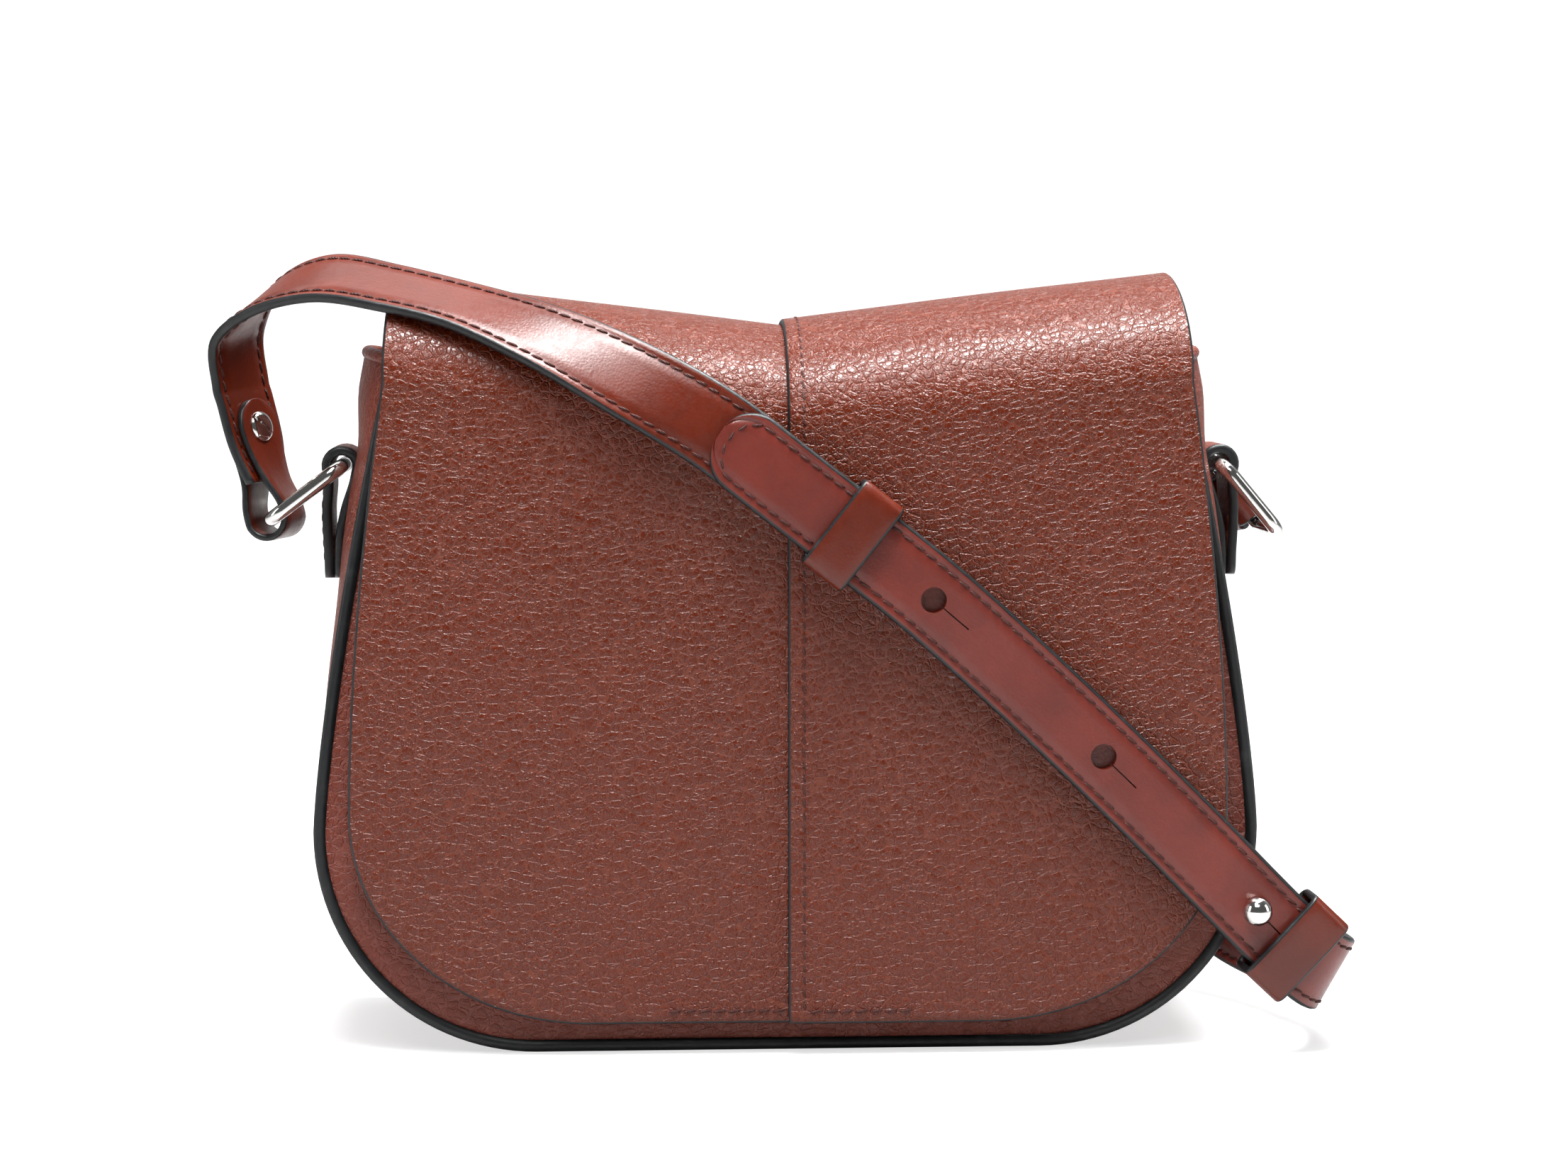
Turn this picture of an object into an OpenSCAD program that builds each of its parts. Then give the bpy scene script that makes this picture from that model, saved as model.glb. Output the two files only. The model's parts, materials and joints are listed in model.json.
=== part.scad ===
// Crossbody saddle bag with a two-piece flap, ring-mounted strap, stud adjuster and keepers.
// Origin: middle of the base on the ground. +X is the bag's right as seen from the front,
// +Z is up, and the front of the bag faces -Y. All lengths are millimetres.

/* [Body] */
// Greatest width of the body, at the top of the round bottom corners
body_w = 240; // [230:1:250]
// Height of the front and rear panels
body_h = 172; // [168:1:176]
// How far each side leans in between the bottom corner and the top
body_taper = 18; // [14:1:20]
// Radius of the round bottom corners
corner_r = 56; // [52:1:60]
// Depth of the body at its base
depth_base = 70; // [68:1:72]
// How far the front panel leans back over its height
front_lean = 7; // [5:0.5:8]
// How far the rear panel leans in over its height
rear_lean = 6; // [5:0.5:7]
// Thickness of the body leather
leather_t = 1.8; // [1.4:0.1:1.9]

/* [Flap] */
// Width of the flap at its widest
flap_w = 220; // [210:1:224]
// Height of the flap's free edge above the ground
flap_bottom = 7.7; // [6:0.1:12]
// Height of the top of the flap at its middle seam
flap_top = 184; // [183:0.5:186]
// How far the flap's top rises from the middle seam to each end
flap_rise = 11; // [8:0.5:12]
// Thickness of each flap leather
flap_leather_t = 1.5; // [1.2:0.1:1.5]

/* [Strap] */
// Width of the strap
strap_w = 21; // [20:0.5:22]
// Thickness of the strap
strap_t = 2.6; // [2.2:0.1:2.6]
// Width of the folded tabs that join the strap to the rings
tab_w = 15; // [14:0.5:15]
// Length of a tab from the ring's bar to the tab's round tip
tab_len = 31; // [29:0.5:32]
// Thickness of the tab leather
tab_t = 1.8; // [1.5:0.1:1.8]
// Length of each keeper along the strap
keeper_len = 12.5; // [10:0.5:13]
// Diameter of the adjuster holes
hole_d = 6.5; // [6:0.1:7]
// Diameter of the ball of the adjuster stud
stud_d = 7.6; // [7.2:0.1:8]

/* [Rings and chapes] */
// Diameter of the ring wire
wire_d = 3.7; // [3.4:0.1:3.8]
// Width of the ring between its side bars, inside
ring_inner_w = 24; // [23.8:0.1:25]
// Distance between the centres of the ring's inner and outer bars
ring_len = 22.5; // [22.3:0.1:23]
// Width of the chapes that hold the rings
chape_w = 18; // [16:0.5:18]
// Angle of the left ring below the horizontal
left_ring_angle = 37; // [34:1:40]
// Angle of the right ring below the horizontal
right_ring_angle = 50; // [48:1:52]

/* [Closure] */
// Diameter of the magnetic snap
magnet_d = 18; // [14:1:18]
// Height of the snap's centre above the ground
magnet_z = 24; // [20:1:28]

/* [Hidden] */

leather = "saddlebrown";
edge_paint = "dimgray";
metal = "silver";
cloth = "tan";
board = "burlywood";

clear = 0.1;                       // gap between layers that are glued or sewn together
far = 400;                         // longer than any side of the bag

// ---------------------------------------------------------------- body dimensions
corner_x = body_w / 2 - corner_r;  // centre of the bottom corner arcs
rear_panel_top = body_h - 7.5;     // stops under the flap's crease
welt_w = 3;                        // width of a welt, in the plane of the panel
welt_proud = 0.6;                  // how far a welt stands out of its panel
welt_deep = 4;                     // depth of a welt, front to back
stiffener_t = 1.0;
lining_t = 0.8;
stiffener_inset = 3.4;
lining_inset = 4.2;
base_board_t = 1.8;

// ---------------------------------------------------------------- flap dimensions
flap_tilt = atan(2 * flap_rise / (flap_w - 22));   // slope of each half of the flap's top
fold_a = 37;                       // half-depth of the fold over the top
fold_b = 26.5;                     // height of that fold
fold_y = -2;                       // middle of the fold, front to back
fold_w = flap_top * cos(flap_tilt) - fold_b;
foot_y = 42;                       // distance of the flap's free edge in front of the middle
hinge_y = fold_y + fold_a + 0.2;   // the crease where the flap turns
hinge_z = 160.2;
flap_corner_a = 60;                // half-axes of the flap's elliptical bottom corners
flap_corner_b = 52.3;
flap_raise = 1.6;                  // how far the right flap leather lies above the left one
flap_tuck = 9;                     // how far the left flap leather runs under the right one
flap_board_t = 0.6;
flap_lining_t = 0.7;

// ---------------------------------------------------------------- ring and tab places
wire_r = wire_d / 2;
ring_half_w = ring_inner_w / 2 + wire_r;
ring_corner_r = 3.6;
chape_x = body_w / 2 - 6.2;        // centre of the chape's loop
chape_z = 147.5;
chape_t = 2.6;
chape_bore_r = wire_r + 0.4;
left_u = [-cos(left_ring_angle), 0, -sin(left_ring_angle)];
right_u = [cos(right_ring_angle), 0, -sin(right_ring_angle)];
left_loop = [-chape_x, 0, chape_z];
right_loop = [chape_x, 0, chape_z];
left_bar = left_loop + ring_len * left_u;
// The right tab sits on the ring's rear side bar, pulled there by the strap behind the bag.
right_bar = right_loop + 12.6 * right_u + [0, ring_half_w, 0];
left_fold_r = 4.1;                 // inner radius of the left tab's loose fold
right_fold_r = 2.6;
tab_yaw = 14.5;                    // the left strap end turns its inner face to the front
tab_lean = 14.5;
right_pull = 12;                   // the right tab leans inwards on its way back
screw_at = tab_len - tab_w / 2;    // distance of the screw from the ring's bar
strap_in = 9;                      // where the strap's squared end sits in the tab

// ---------------------------------------------------------------- vectors and curves
function unit(v) = v / norm(v);
function clamped(list, i) = list[max(0, min(len(list) - 1, i))];
function catmull(a, b, c, d, u) =
    0.5 * (2 * b + (c - a) * u + (2 * a - 5 * b + 4 * c - d) * u * u
    + (3 * b - a - 3 * c + d) * u * u * u);
function spline(list, s) =
    let (i = min(floor(s), len(list) - 2), u = s - i)
    catmull(clamped(list, i - 1), clamped(list, i), clamped(list, i + 1), clamped(list, i + 2), u);
// Frame of a strap at station s: [point, tangent, width direction, outward normal].
function strap_frame(path, widths, s) =
    let (e = 0.02, last = len(path) - 1)
    let (t = unit(spline(path, min(last, s + e)) - spline(path, max(0, s - e))))
    let (raw = unit(spline(widths, s)), n = unit(cross(t, raw)))
    [spline(path, s), t, cross(n, t), n];

module xz_extrude(d) {
    rotate([90, 0, 0]) linear_extrude(d, center = true) children();
}
module yz_extrude(w) {
    rotate([90, 0, 90]) linear_extrude(w, center = true) children();
}
// Puts its children at p, with their X, Y and Z along the three unit vectors.
module placed(p, x, y, z) {
    multmatrix([[x[0], y[0], z[0], p[0]], [x[1], y[1], z[1], p[1]],
        [x[2], y[2], z[2], p[2]], [0, 0, 0, 1]]) children();
}

// ---------------------------------------------------------------- body
function body_side(z) =
    body_w / 2 - body_taper * pow(max(0, z - corner_r) / (168 - corner_r), 1.35);
function mirrored(right) =
    concat(right, [for (i = [len(right) - 1:-1:0]) [-right[i][0], right[i][1]]]);
function body_points(inset, top) = mirrored(concat(
    [for (a = [-90:6:0]) [corner_x + (corner_r - inset) * cos(a),
        corner_r + (corner_r - inset) * sin(a)]],
    [for (i = [1:8]) let (z = corner_r + (top - corner_r) * i / 8) [body_side(z) - inset, z]]));
function front_y(z) = -depth_base / 2 + front_lean * z / body_h;
function rear_y(z) = depth_base / 2 - rear_lean * z / body_h;

// A leaning sheet parallel to the front (side = -1) or rear (side = 1) panel,
// from d0 to d1 inside that panel's outer face.
module panel_slab(side, d0, d1) {
    z0 = -5;
    z1 = body_h + 10;
    ya = side < 0 ? front_y(z0) : rear_y(z0);
    yb = side < 0 ? front_y(z1) : rear_y(z1);
    yz_extrude(far) polygon([[ya - side * d0, z0], [ya - side * d1, z0],
        [yb - side * d1, z1], [yb - side * d0, z1]]);
}
module panel(side, d0, d1, inset, top) {
    intersection() {
        xz_extrude(far) polygon(body_points(inset, top));
        panel_slab(side, d0, d1);
    }
}
// U-shaped wall that follows the body's outline between two insets.
module outline_wall(inset0, inset1, top) {
    xz_extrude(far) difference() {
        polygon(body_points(inset0, top));
        polygon(body_points(inset1, top + 1));
    }
}
module between_panels(d) {
    yz_extrude(far) polygon([[front_y(-5) + d, -5], [rear_y(-5) - d, -5],
        [rear_y(body_h + 10) - d, body_h + 10], [front_y(body_h + 10) + d, body_h + 10]]);
}
module prong_slots(z, y) {
    for (x = [-4.5, 4.5]) translate([x - 0.6, y - 6, z - 2.1]) cube([1.2, 12, 4.2]);
}
module front_panel() {
    color(leather) difference() {
        panel(-1, 0, leather_t, welt_w + clear, body_h);
        prong_slots(magnet_z, front_y(magnet_z));
    }
}
module rear_panel() {
    color(leather) panel(1, 0, leather_t, welt_w + clear, rear_panel_top);
}
module gusset() {
    color(leather) intersection() {
        outline_wall(0, leather_t, body_h + 3);
        between_panels(welt_deep - welt_proud + clear);
    }
}
module edge_welt(side) {
    color(edge_paint) intersection() {
        outline_wall(0, welt_w, body_h);
        panel_slab(side, -welt_proud, welt_deep - welt_proud);
    }
}
module front_edge_welt() edge_welt(-1);
module rear_edge_welt() edge_welt(1);
module stiffener(side) {
    panel(side, leather_t + clear, leather_t + clear + stiffener_t, stiffener_inset, body_h - 4);
}
module front_stiffener() {
    color(board) difference() {
        stiffener(-1);
        translate([0, front_y(magnet_z), magnet_z]) rotate([90, 0, 0])
            cylinder(h = 20, r = magnet_d / 2 + 1, center = true, $fn = 64);
    }
}
module rear_stiffener() {
    color(board) stiffener(1);
}
module base_board() {
    color(board) translate([-corner_x + 2, -depth_base / 2 + 6, leather_t + clear])
        cube([2 * corner_x - 4, depth_base - 12, base_board_t]);
}
module lining() {
    depth = leather_t + stiffener_t + 3 * clear;
    color(cloth) difference() {
        intersection() {
            xz_extrude(far) polygon(body_points(lining_inset, body_h - 2));
            between_panels(depth);
        }
        intersection() {
            xz_extrude(far) polygon(body_points(lining_inset + lining_t, body_h + 2));
            between_panels(depth + lining_t);
        }
    }
}
module slip_pocket() {
    depth = leather_t + stiffener_t + lining_t + 5 * clear;
    color(cloth) intersection() {
        panel_slab(1, depth, depth + lining_t);
        xz_extrude(far) translate([-65, 62]) square([130, 80]);
    }
}
// Lower edge of the flap's leather, sewn to the back of the rear panel below the crease.
module flap_margin() {
    low = 128;
    top = hinge_z - 0.4;
    color(leather) intersection() {
        yz_extrude(196) polygon([[rear_y(low) + 0.7, low], [rear_y(low) + 2.3, low],
            [hinge_y - 0.3, top - 4], [hinge_y - 0.3, top], [hinge_y - 3.4, top],
            [rear_y(top) + 0.7, top - 6]]);
        xz_extrude(far) union() {
            translate([-98, low + 8]) square([196, 60]);
            translate([-90, low]) square([180, 60]);
            for (x = [-90, 90]) translate([x, low + 8]) circle(r = 8, $fn = 48);
        }
    }
}

// ---------------------------------------------------------------- magnetic snap
panel_tilt = atan(front_lean / body_h);
module on_front_panel() {
    translate([0, front_y(magnet_z), magnet_z]) rotate([90 - panel_tilt, 0, 0]) children();
}
module magnet_prongs(reach) {
    for (x = [-4.5, 4.5]) translate([x - 0.4, -1.5, -reach]) cube([0.8, 3, reach]);
}
module washer(t) {
    difference() {
        cylinder(h = t, r = magnet_d / 2 - 1, $fn = 64);
        for (x = [-4.5, 4.5]) translate([x - 0.6, -1.8, -1]) cube([1.2, 3.6, t + 2]);
        translate([0, 0, -1]) cylinder(h = t + 2, r = 2, $fn = 32);
    }
}
module front_magnet() {
    color(metal) on_front_panel() {
        difference() {
            translate([0, 0, clear]) cylinder(h = 2.2, r = magnet_d / 2, $fn = 64);
            translate([0, 0, 1.2]) cylinder(h = 2, r = 3.2, $fn = 48);
        }
        magnet_prongs(leather_t + 0.8);
    }
}
module front_magnet_washer() {
    color(metal) on_front_panel() translate([0, 0, -leather_t - clear - 0.7]) washer(0.7);
}
function flap_front_y(z, d) = -foot_y + d + (foot_y + fold_y - fold_a) * z / fold_w;
flap_slope = atan((foot_y + fold_y - fold_a) / fold_w);
flap_back = flap_leather_t + 2 * clear + flap_board_t + flap_lining_t;
module on_flap_lining() {
    translate([0, flap_front_y(magnet_z, flap_back), magnet_z])
        rotate([-90 - flap_slope, 0, 0]) children();
}
module flap_magnet() {
    color(metal) on_flap_lining() {
        translate([0, 0, clear]) cylinder(h = 1.3, r = magnet_d / 2, $fn = 64);
        cylinder(h = 2.1, r = 2.6, $fn = 48);
        magnet_prongs(flap_lining_t + flap_board_t);
    }
}
module flap_magnet_washer() {
    color(metal) on_flap_lining()
        translate([0, 0, -flap_lining_t - clear - 0.5]) washer(0.5);
}

// ---------------------------------------------------------------- flap
function flap_side(z) =
    flap_w / 2 - 11 * pow(max(0, z - 60) / 130, 1.7);
function flap_points(inset) = mirrored(concat(
    [for (a = [-90:6:0]) [flap_w / 2 - flap_corner_a + (flap_corner_a - inset) * cos(a),
        flap_bottom + flap_corner_b + (flap_corner_b - inset) * sin(a)]],
    [for (i = [1:8]) let (z = flap_bottom + flap_corner_b + 150 * i / 8)
        [flap_side(z) - inset, z]]));
// Side profile of the flap's outer face moved inwards by d, from the free edge over the fold.
function flap_path(d) = concat([[flap_front_y(-8, d), -8]],
    [for (a = [180:-6:0]) [fold_y + (fold_a - d) * cos(a), fold_w + (fold_b - d) * sin(a)]],
    [[fold_y + fold_a - d, fold_w - 30]]);
function reversed(list) = [for (i = [len(list) - 1:-1:0]) list[i]];
// One half of a flap layer, sloping up from the middle seam: side is 1 right, -1 left.
module flap_half(side, d0, d1) {
    intersection() {
        rotate([0, -side * flap_tilt, 0]) yz_extrude(far)
            polygon(concat(flap_path(d0), reversed(flap_path(d1))));
        translate([side > 0 ? 0 : -200, -100, -50]) cube([200, 200, 300]);
    }
}
module flap_cut(inset, left, right) {
    intersection() {
        xz_extrude(far) intersection() {
            polygon(flap_points(inset));
            translate([left, 0]) square([right - left, 240]);
        }
        union() {
            translate([-150, -100, -50]) cube([300, 100, 300]);
            translate([-150, 0, hinge_z + 0.4]) cube([300, 100, 100]);
        }
    }
}
module flap_layer(d0, d1, inset, left, right) {
    intersection() {
        flap_cut(inset, left, right);
        union() {
            if (right > 0) flap_half(1, d0, d1);
            if (left < 0) flap_half(-1, d0, d1);
        }
    }
}
module flap_left_panel() {
    color(leather) flap_layer(0, flap_leather_t, 0, -150, flap_tuck);
}
module flap_right_panel() {
    color(leather) flap_layer(-flap_raise, -clear, 0, 0, 150);
}
module flap_stiffener() {
    low = flap_leather_t + clear;
    color(board) difference() {
        union() {
            flap_layer(low, low + flap_board_t, 3, -150, flap_tuck + clear);
            flap_layer(0, low + flap_board_t, 3, flap_tuck + clear, 150);
        }
        translate([0, -foot_y, magnet_z]) rotate([90, 0, 0])
            cylinder(h = 20, r = magnet_d / 2 + 0.5, center = true, $fn = 64);
    }
}
module flap_lining() {
    low = flap_leather_t + flap_board_t + 2 * clear;
    color(cloth) difference() {
        flap_layer(low, low + flap_lining_t, 0.6, -150, 150);
        prong_slots(magnet_z, flap_front_y(magnet_z, low));
    }
}

// ---------------------------------------------------------------- rings and chapes
module ring() {
    straight = 2 * (ring_half_w - ring_corner_r);
    for (x = [0, ring_len]) translate([x, 0, 0]) rotate([90, 0, 0])
        cylinder(h = straight, r = wire_r, center = true, $fn = 48);
    for (y = [-ring_half_w, ring_half_w]) translate([ring_corner_r, y, 0]) rotate([0, 90, 0])
        cylinder(h = ring_len - 2 * ring_corner_r, r = wire_r, $fn = 48);
    for (k = [0:3]) {
        x = (k == 0 || k == 3) ? ring_len - ring_corner_r : ring_corner_r;
        y = (k < 2 ? 1 : -1) * (ring_half_w - ring_corner_r);
        translate([x, y, 0]) rotate([0, 0, 90 * k])
            rotate_extrude(angle = 90, $fn = 64) translate([ring_corner_r, 0])
            circle(r = wire_r, $fn = 48);
    }
}
module left_ring() {
    color(metal) translate(left_loop) rotate([0, 0, 180]) rotate([0, left_ring_angle, 0]) ring();
}
module right_ring() {
    color(metal) translate(right_loop) rotate([0, right_ring_angle, 0]) ring();
}
// Leather loop sewn to the gusset, drawn with its outer side towards +X.
module chape() {
    loop_r = chape_bore_r + chape_t;
    leg = 29.5;
    color(leather) xz_extrude(chape_w) difference() {
        union() {
            circle(r = loop_r, $fn = 64);
            polygon([[loop_r, 0], [3.6, -16], [3.6, -leg], [-1.2, -leg], [-1.2, -16], [-loop_r, 0]]);
        }
        circle(r = chape_bore_r, $fn = 64);
        translate([1, -leg - 1]) square([0.4, leg]);
    }
}
module left_chape() translate(left_loop) mirror([1, 0, 0]) chape();
module right_chape() translate(right_loop) chape();

// ---------------------------------------------------------------- tabs and their screws
// A strip folded round a ring's bar: the bar lies along Y, the legs go up Z and face +X and -X.
module tab(fold_r) {
    gap = strap_t / 2 + clear;
    out = gap + tab_t;
    join = 15;
    color(leather) difference() {
        intersection() {
            xz_extrude(tab_w) difference() {
                union() {
                    circle(r = fold_r + tab_t, $fn = 64);
                    polygon([[fold_r + tab_t, 0], [out, join], [out, tab_len], [-out, tab_len],
                        [-out, join], [-fold_r - tab_t, 0]]);
                }
                circle(r = fold_r, $fn = 64);
                polygon([[fold_r, 0], [gap, join], [gap, tab_len + 1], [-gap, tab_len + 1],
                    [-gap, join], [-fold_r, 0]]);
            }
            yz_extrude(40) union() {
                translate([-tab_w / 2, -20]) square([tab_w, screw_at + 20]);
                translate([0, screw_at]) circle(r = tab_w / 2, $fn = 64);
            }
        }
        translate([0, 0, screw_at]) rotate([0, 90, 0])
            cylinder(h = 40, r = 2.1, center = true, $fn = 48);
    }
}
stack = strap_t / 2 + clear + tab_t;      // half-thickness of two tab legs with the strap between
module screw_post() {
    color(metal) translate([0, 0, screw_at]) rotate([0, 90, 0]) difference() {
        union() {
            translate([0, 0, -stack - clear - 1.1]) cylinder(h = 1.1, r = 4, $fn = 64);
            translate([0, 0, -stack - clear - 1.1]) cylinder(h = 2 * stack + 1.1, r = 2, $fn = 48);
        }
        translate([0, 0, -stack + 1]) cylinder(h = 2 * stack + 5, r = 1.3, $fn = 32);
    }
}
module screw_cap() {
    color(metal) translate([0, 0, screw_at]) rotate([0, 90, 0]) difference() {
        union() {
            translate([0, 0, stack + clear]) cylinder(h = 1.1, r = 4, $fn = 64);
            translate([0, 0, -stack + 2]) cylinder(h = 2 * stack - 1, r = 1.2, $fn = 32);
        }
        translate([-5, -0.5, stack + clear + 0.6]) cube([10, 1, 2]);
    }
}
module at_left_bar() {
    translate(left_bar) rotate([0, 0, -tab_yaw]) rotate([0, -tab_lean, 0]) children();
}
right_d = cos(right_pull) * [0, 1, 0]
    + sin(right_pull) * [-sin(right_ring_angle), 0, -cos(right_ring_angle)];
module at_right_bar() placed(right_bar, cross(right_u, right_d), right_u, right_d) children();
module left_tab() at_left_bar() tab(left_fold_r);
module left_screw_post() at_left_bar() screw_post();
module left_screw_cap() at_left_bar() screw_cap();
module right_tab() at_right_bar() tab(right_fold_r);
module right_screw_post() at_right_bar() mirror([1, 0, 0]) screw_post();
module right_screw_cap() at_right_bar() mirror([1, 0, 0]) screw_cap();

// ---------------------------------------------------------------- strap
// The long strap runs from the left tab over the arch and down across the flap.
left_d = [-sin(tab_lean) * cos(tab_yaw), sin(tab_lean) * sin(tab_yaw), cos(tab_lean)];
left_w = [sin(tab_yaw), cos(tab_yaw), 0];
// A place on the flap's front, with the strap lifted off the leather to let the keeper pass under.
function on_flap(x, z, lift = 0) = [x, -45.3 - lift + 3 * z / 158, z];
keeper_lift = 2.4;
keeper_mouth = [131.8, -43.6, 22.8];
rise_path = concat([for (along = [strap_in, 20, tab_len, tab_len + 5]) left_bar + along * left_d],
    [[-140.8, 0, 181], [-132, -8, 191], [-117.5, -16.5, 195.5]]);
rise_widths = [left_w, left_w, left_w, left_w, [0.3, 0.93, 0.12], [0.2, 0.88, 0.36],
    [0.12, 0.84, 0.5]];
span_path = [[-100, -23.5, 193], [-80, -28.5, 188], [-60, -35.4, 180.5], [-40, -41, 170.5],
    on_flap(-20, 158.9, 1.8), on_flap(-1, 144.5, keeper_lift), on_flap(15, 132, keeper_lift),
    on_flap(35, 116, keeper_lift), on_flap(56.5, 96.7, 0.6), on_flap(78, 76.3), on_flap(97.5, 57), on_flap(116.5, 37.6),
    on_flap(124.5, 29.7), keeper_mouth];
span_widths = [[0.1, 0.86, 0.5], [0.2, 0.83, 0.51], [0.3, 0.66, 0.69], [0.45, 0.35, 0.82],
    [0.57, 0.05, 0.82], for (k = [1:8]) [0.62, 0, 0.76], [0.57, 0.06, 0.8]];
// The adjuster strap lies on the span, then leaves the keeper round the right side of the bag,
// rises behind it and curls forward into the right tab.
right_mouth = right_bar + (tab_len + 1) * right_d;
tail_path = [on_flap(124.5, 29.7), keeper_mouth, [136.4, -35.5, 20], [136, -19, 19],
    [130, 3, 19], [123, 21, 20.5], [116, 33, 26], [106, 39, 39], [98, 40.5, 60],
    [96, 41, 83], [100, 42, 104], [107, 45, 120], right_mouth + [-2.2, 4.2, -2.6], right_mouth,
    right_mouth - 4 * right_d];
tail_widths = [[0.62, 0, 0.76], [0.57, 0.06, 0.8], [0.5, 0.05, 0.86], [0.45, 0, 0.9],
    [0.4, 0, 0.92], [0.35, 0, 0.93], [0.4, 0.1, 0.9], [0.8, 0, 0.6], [0.97, 0, 0.25],
    [1, 0, -0.05], [0.93, 0, -0.35], [0.85, 0, -0.5], [0.7, 0, -0.7], right_u, right_u];
adjuster_off = strap_t + 0.3;      // the adjuster strap lies this far outside the long strap
arch_path = concat(rise_path, span_path);
arch_widths = concat(rise_widths, span_widths);
rise_n = len(rise_path);
keeper2_s = rise_n + 12.28;        // station of the fixed keeper
span_end = rise_n + 13;

// A flat band along a path from station s0 to s1, moved outwards by off. A tip length above
// zero rounds the first end.
module band(path, widths, s0, s1, steps, off, tip) {
    length = norm(spline(path, s0 + 0.5) - spline(path, s0)) * 2;
    stations = concat(
        tip > 0 ? [for (a = [8:8:88]) s0 + tip / length * (1 - cos(a))] : [s0],
        [for (i = [0:steps]) let (a = tip > 0 ? s0 + tip / length : s0) a + (s1 - a) * i / steps
            ]);
    kept = tip > 0 ? stations : [for (i = [1:len(stations) - 1]) stations[i]];
    points = [for (s = kept)
        let (f = strap_frame(path, widths, s), near = (s - s0) * length / max(tip, 0.001))
        let (h = strap_w / 2 * (tip > 0 && near < 1 ? sqrt(1 - pow(1 - near, 2)) : 1))
        for (c = [[-1, -1], [1, -1], [1, 1], [-1, 1]])
            f[0] + c[0] * h * f[2] + (off + c[1] * strap_t / 2) * f[3]];
    n = len(kept);
    polyhedron(points, concat([[0, 1, 2, 3]],
        [for (i = [0:n - 2]) for (k = [0:3]) for (half = [0, 1])
            let (a = 4 * i + k, b = 4 * i + (k + 1) % 4)
            half == 0 ? [a, a + 4, b + 4] : [a, b + 4, b]],
        [[4 * n - 1, 4 * n - 2, 4 * n - 3, 4 * n - 4]]));
}
// Places children on a strap: X along the strap, Y across it, Z outwards.
module on_strap(path, widths, s) {
    f = strap_frame(path, widths, s);
    placed(f[0], f[1], -f[2], f[3]) children();
}
hole1_s = rise_n + 7;
hole2_s = rise_n + 9;
stud_s = rise_n + 11;
module long_strap_rise() {
    color(leather) difference() {
        band(arch_path, arch_widths, 0, rise_n - 1, 20, 0, 0);
        at_left_bar() translate([0, 0, screw_at]) rotate([0, 90, 0])
            cylinder(h = 20, r = 2.1, center = true, $fn = 48);
    }
}
module long_strap_span() {
    color(leather) difference() {
        band(arch_path, arch_widths, rise_n - 0.96, span_end, 44, 0, 0);
        on_strap(arch_path, arch_widths, stud_s)
            cylinder(h = 10, r = 2.1, center = true, $fn = 48);
    }
}
module adjuster_hole(s) {
    on_strap(arch_path, arch_widths, s) {
        translate([0, 0, adjuster_off]) cylinder(h = 8, r = hole_d / 2, center = true, $fn = 48);
        translate([hole_d / 2 - 1, -0.25, adjuster_off - 4]) cube([9, 0.5, 8]);
    }
}
module adjuster_span() {
    color(leather) difference() {
        band(arch_path, arch_widths, rise_n + 4.12, span_end, 36, adjuster_off, 9);
        adjuster_hole(hole1_s);
        adjuster_hole(hole2_s);
        on_strap(arch_path, arch_widths, stud_s)
            cylinder(h = 20, r = hole_d / 2 - 0.9, center = true, $fn = 48);
    }
}
module adjuster_tail() {
    color(leather) band(tail_path, tail_widths, 1.1, 12.9, 60, adjuster_off, 0);
}
module adjuster_end() {
    color(leather) at_right_bar() difference() {
        translate([-strap_t / 2, -strap_w / 2, strap_in])
            cube([strap_t, strap_w, tab_len - strap_in]);
        translate([0, 0, screw_at]) rotate([0, 90, 0])
            cylinder(h = 20, r = 2.1, center = true, $fn = 48);
    }
}
// Closed band round both straps, with play between it and them.
module keeper(play) {
    w = strap_w / 2 + play;
    low = -strap_t / 2 - play;
    high = adjuster_off + strap_t / 2 + play;
    wall = 1.4;
    color(leather) rotate([90, 0, 90]) linear_extrude(keeper_len, center = true) difference() {
        union() {
            translate([-w, low - wall]) square([2 * w, high - low + 2 * wall]);
            translate([-w - wall, low]) square([2 * (w + wall), high - low]);
            for (x = [-w, w]) for (y = [low, high]) translate([x, y]) circle(r = wall, $fn = 32);
        }
        translate([-w, low]) square([2 * w, high - low]);
    }
}
module fixed_keeper() on_strap(arch_path, arch_widths, keeper2_s) keeper(0.9);
module sliding_keeper() on_strap(arch_path, arch_widths, rise_n + 6) keeper(0.6);
stud_neck = adjuster_off + strap_t / 2 + 0.2;
module adjuster_stud() {
    color(metal) on_strap(arch_path, arch_widths, stud_s) difference() {
        union() {
            translate([0, 0, stud_neck + stud_d / 2 - 0.6]) sphere(r = stud_d / 2, $fn = 64);
            translate([0, 0, -strap_t / 2]) cylinder(h = stud_neck + strap_t, r = 2, $fn = 48);
        }
        translate([0, 0, -strap_t]) cylinder(h = strap_t + 3, r = 1.2, $fn = 32);
    }
}
module stud_screw() {
    color(metal) on_strap(arch_path, arch_widths, stud_s) difference() {
        union() {
            translate([0, 0, -strap_t / 2 - clear - 0.8]) cylinder(h = 0.8, r = 3.2, $fn = 48);
            translate([0, 0, -strap_t / 2 - clear - 0.4]) cylinder(h = 3.6, r = 1.1, $fn = 32);
        }
        translate([-5, -0.4, -strap_t / 2 - clear - 1.2]) cube([10, 0.8, 0.8]);
    }
}

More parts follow.
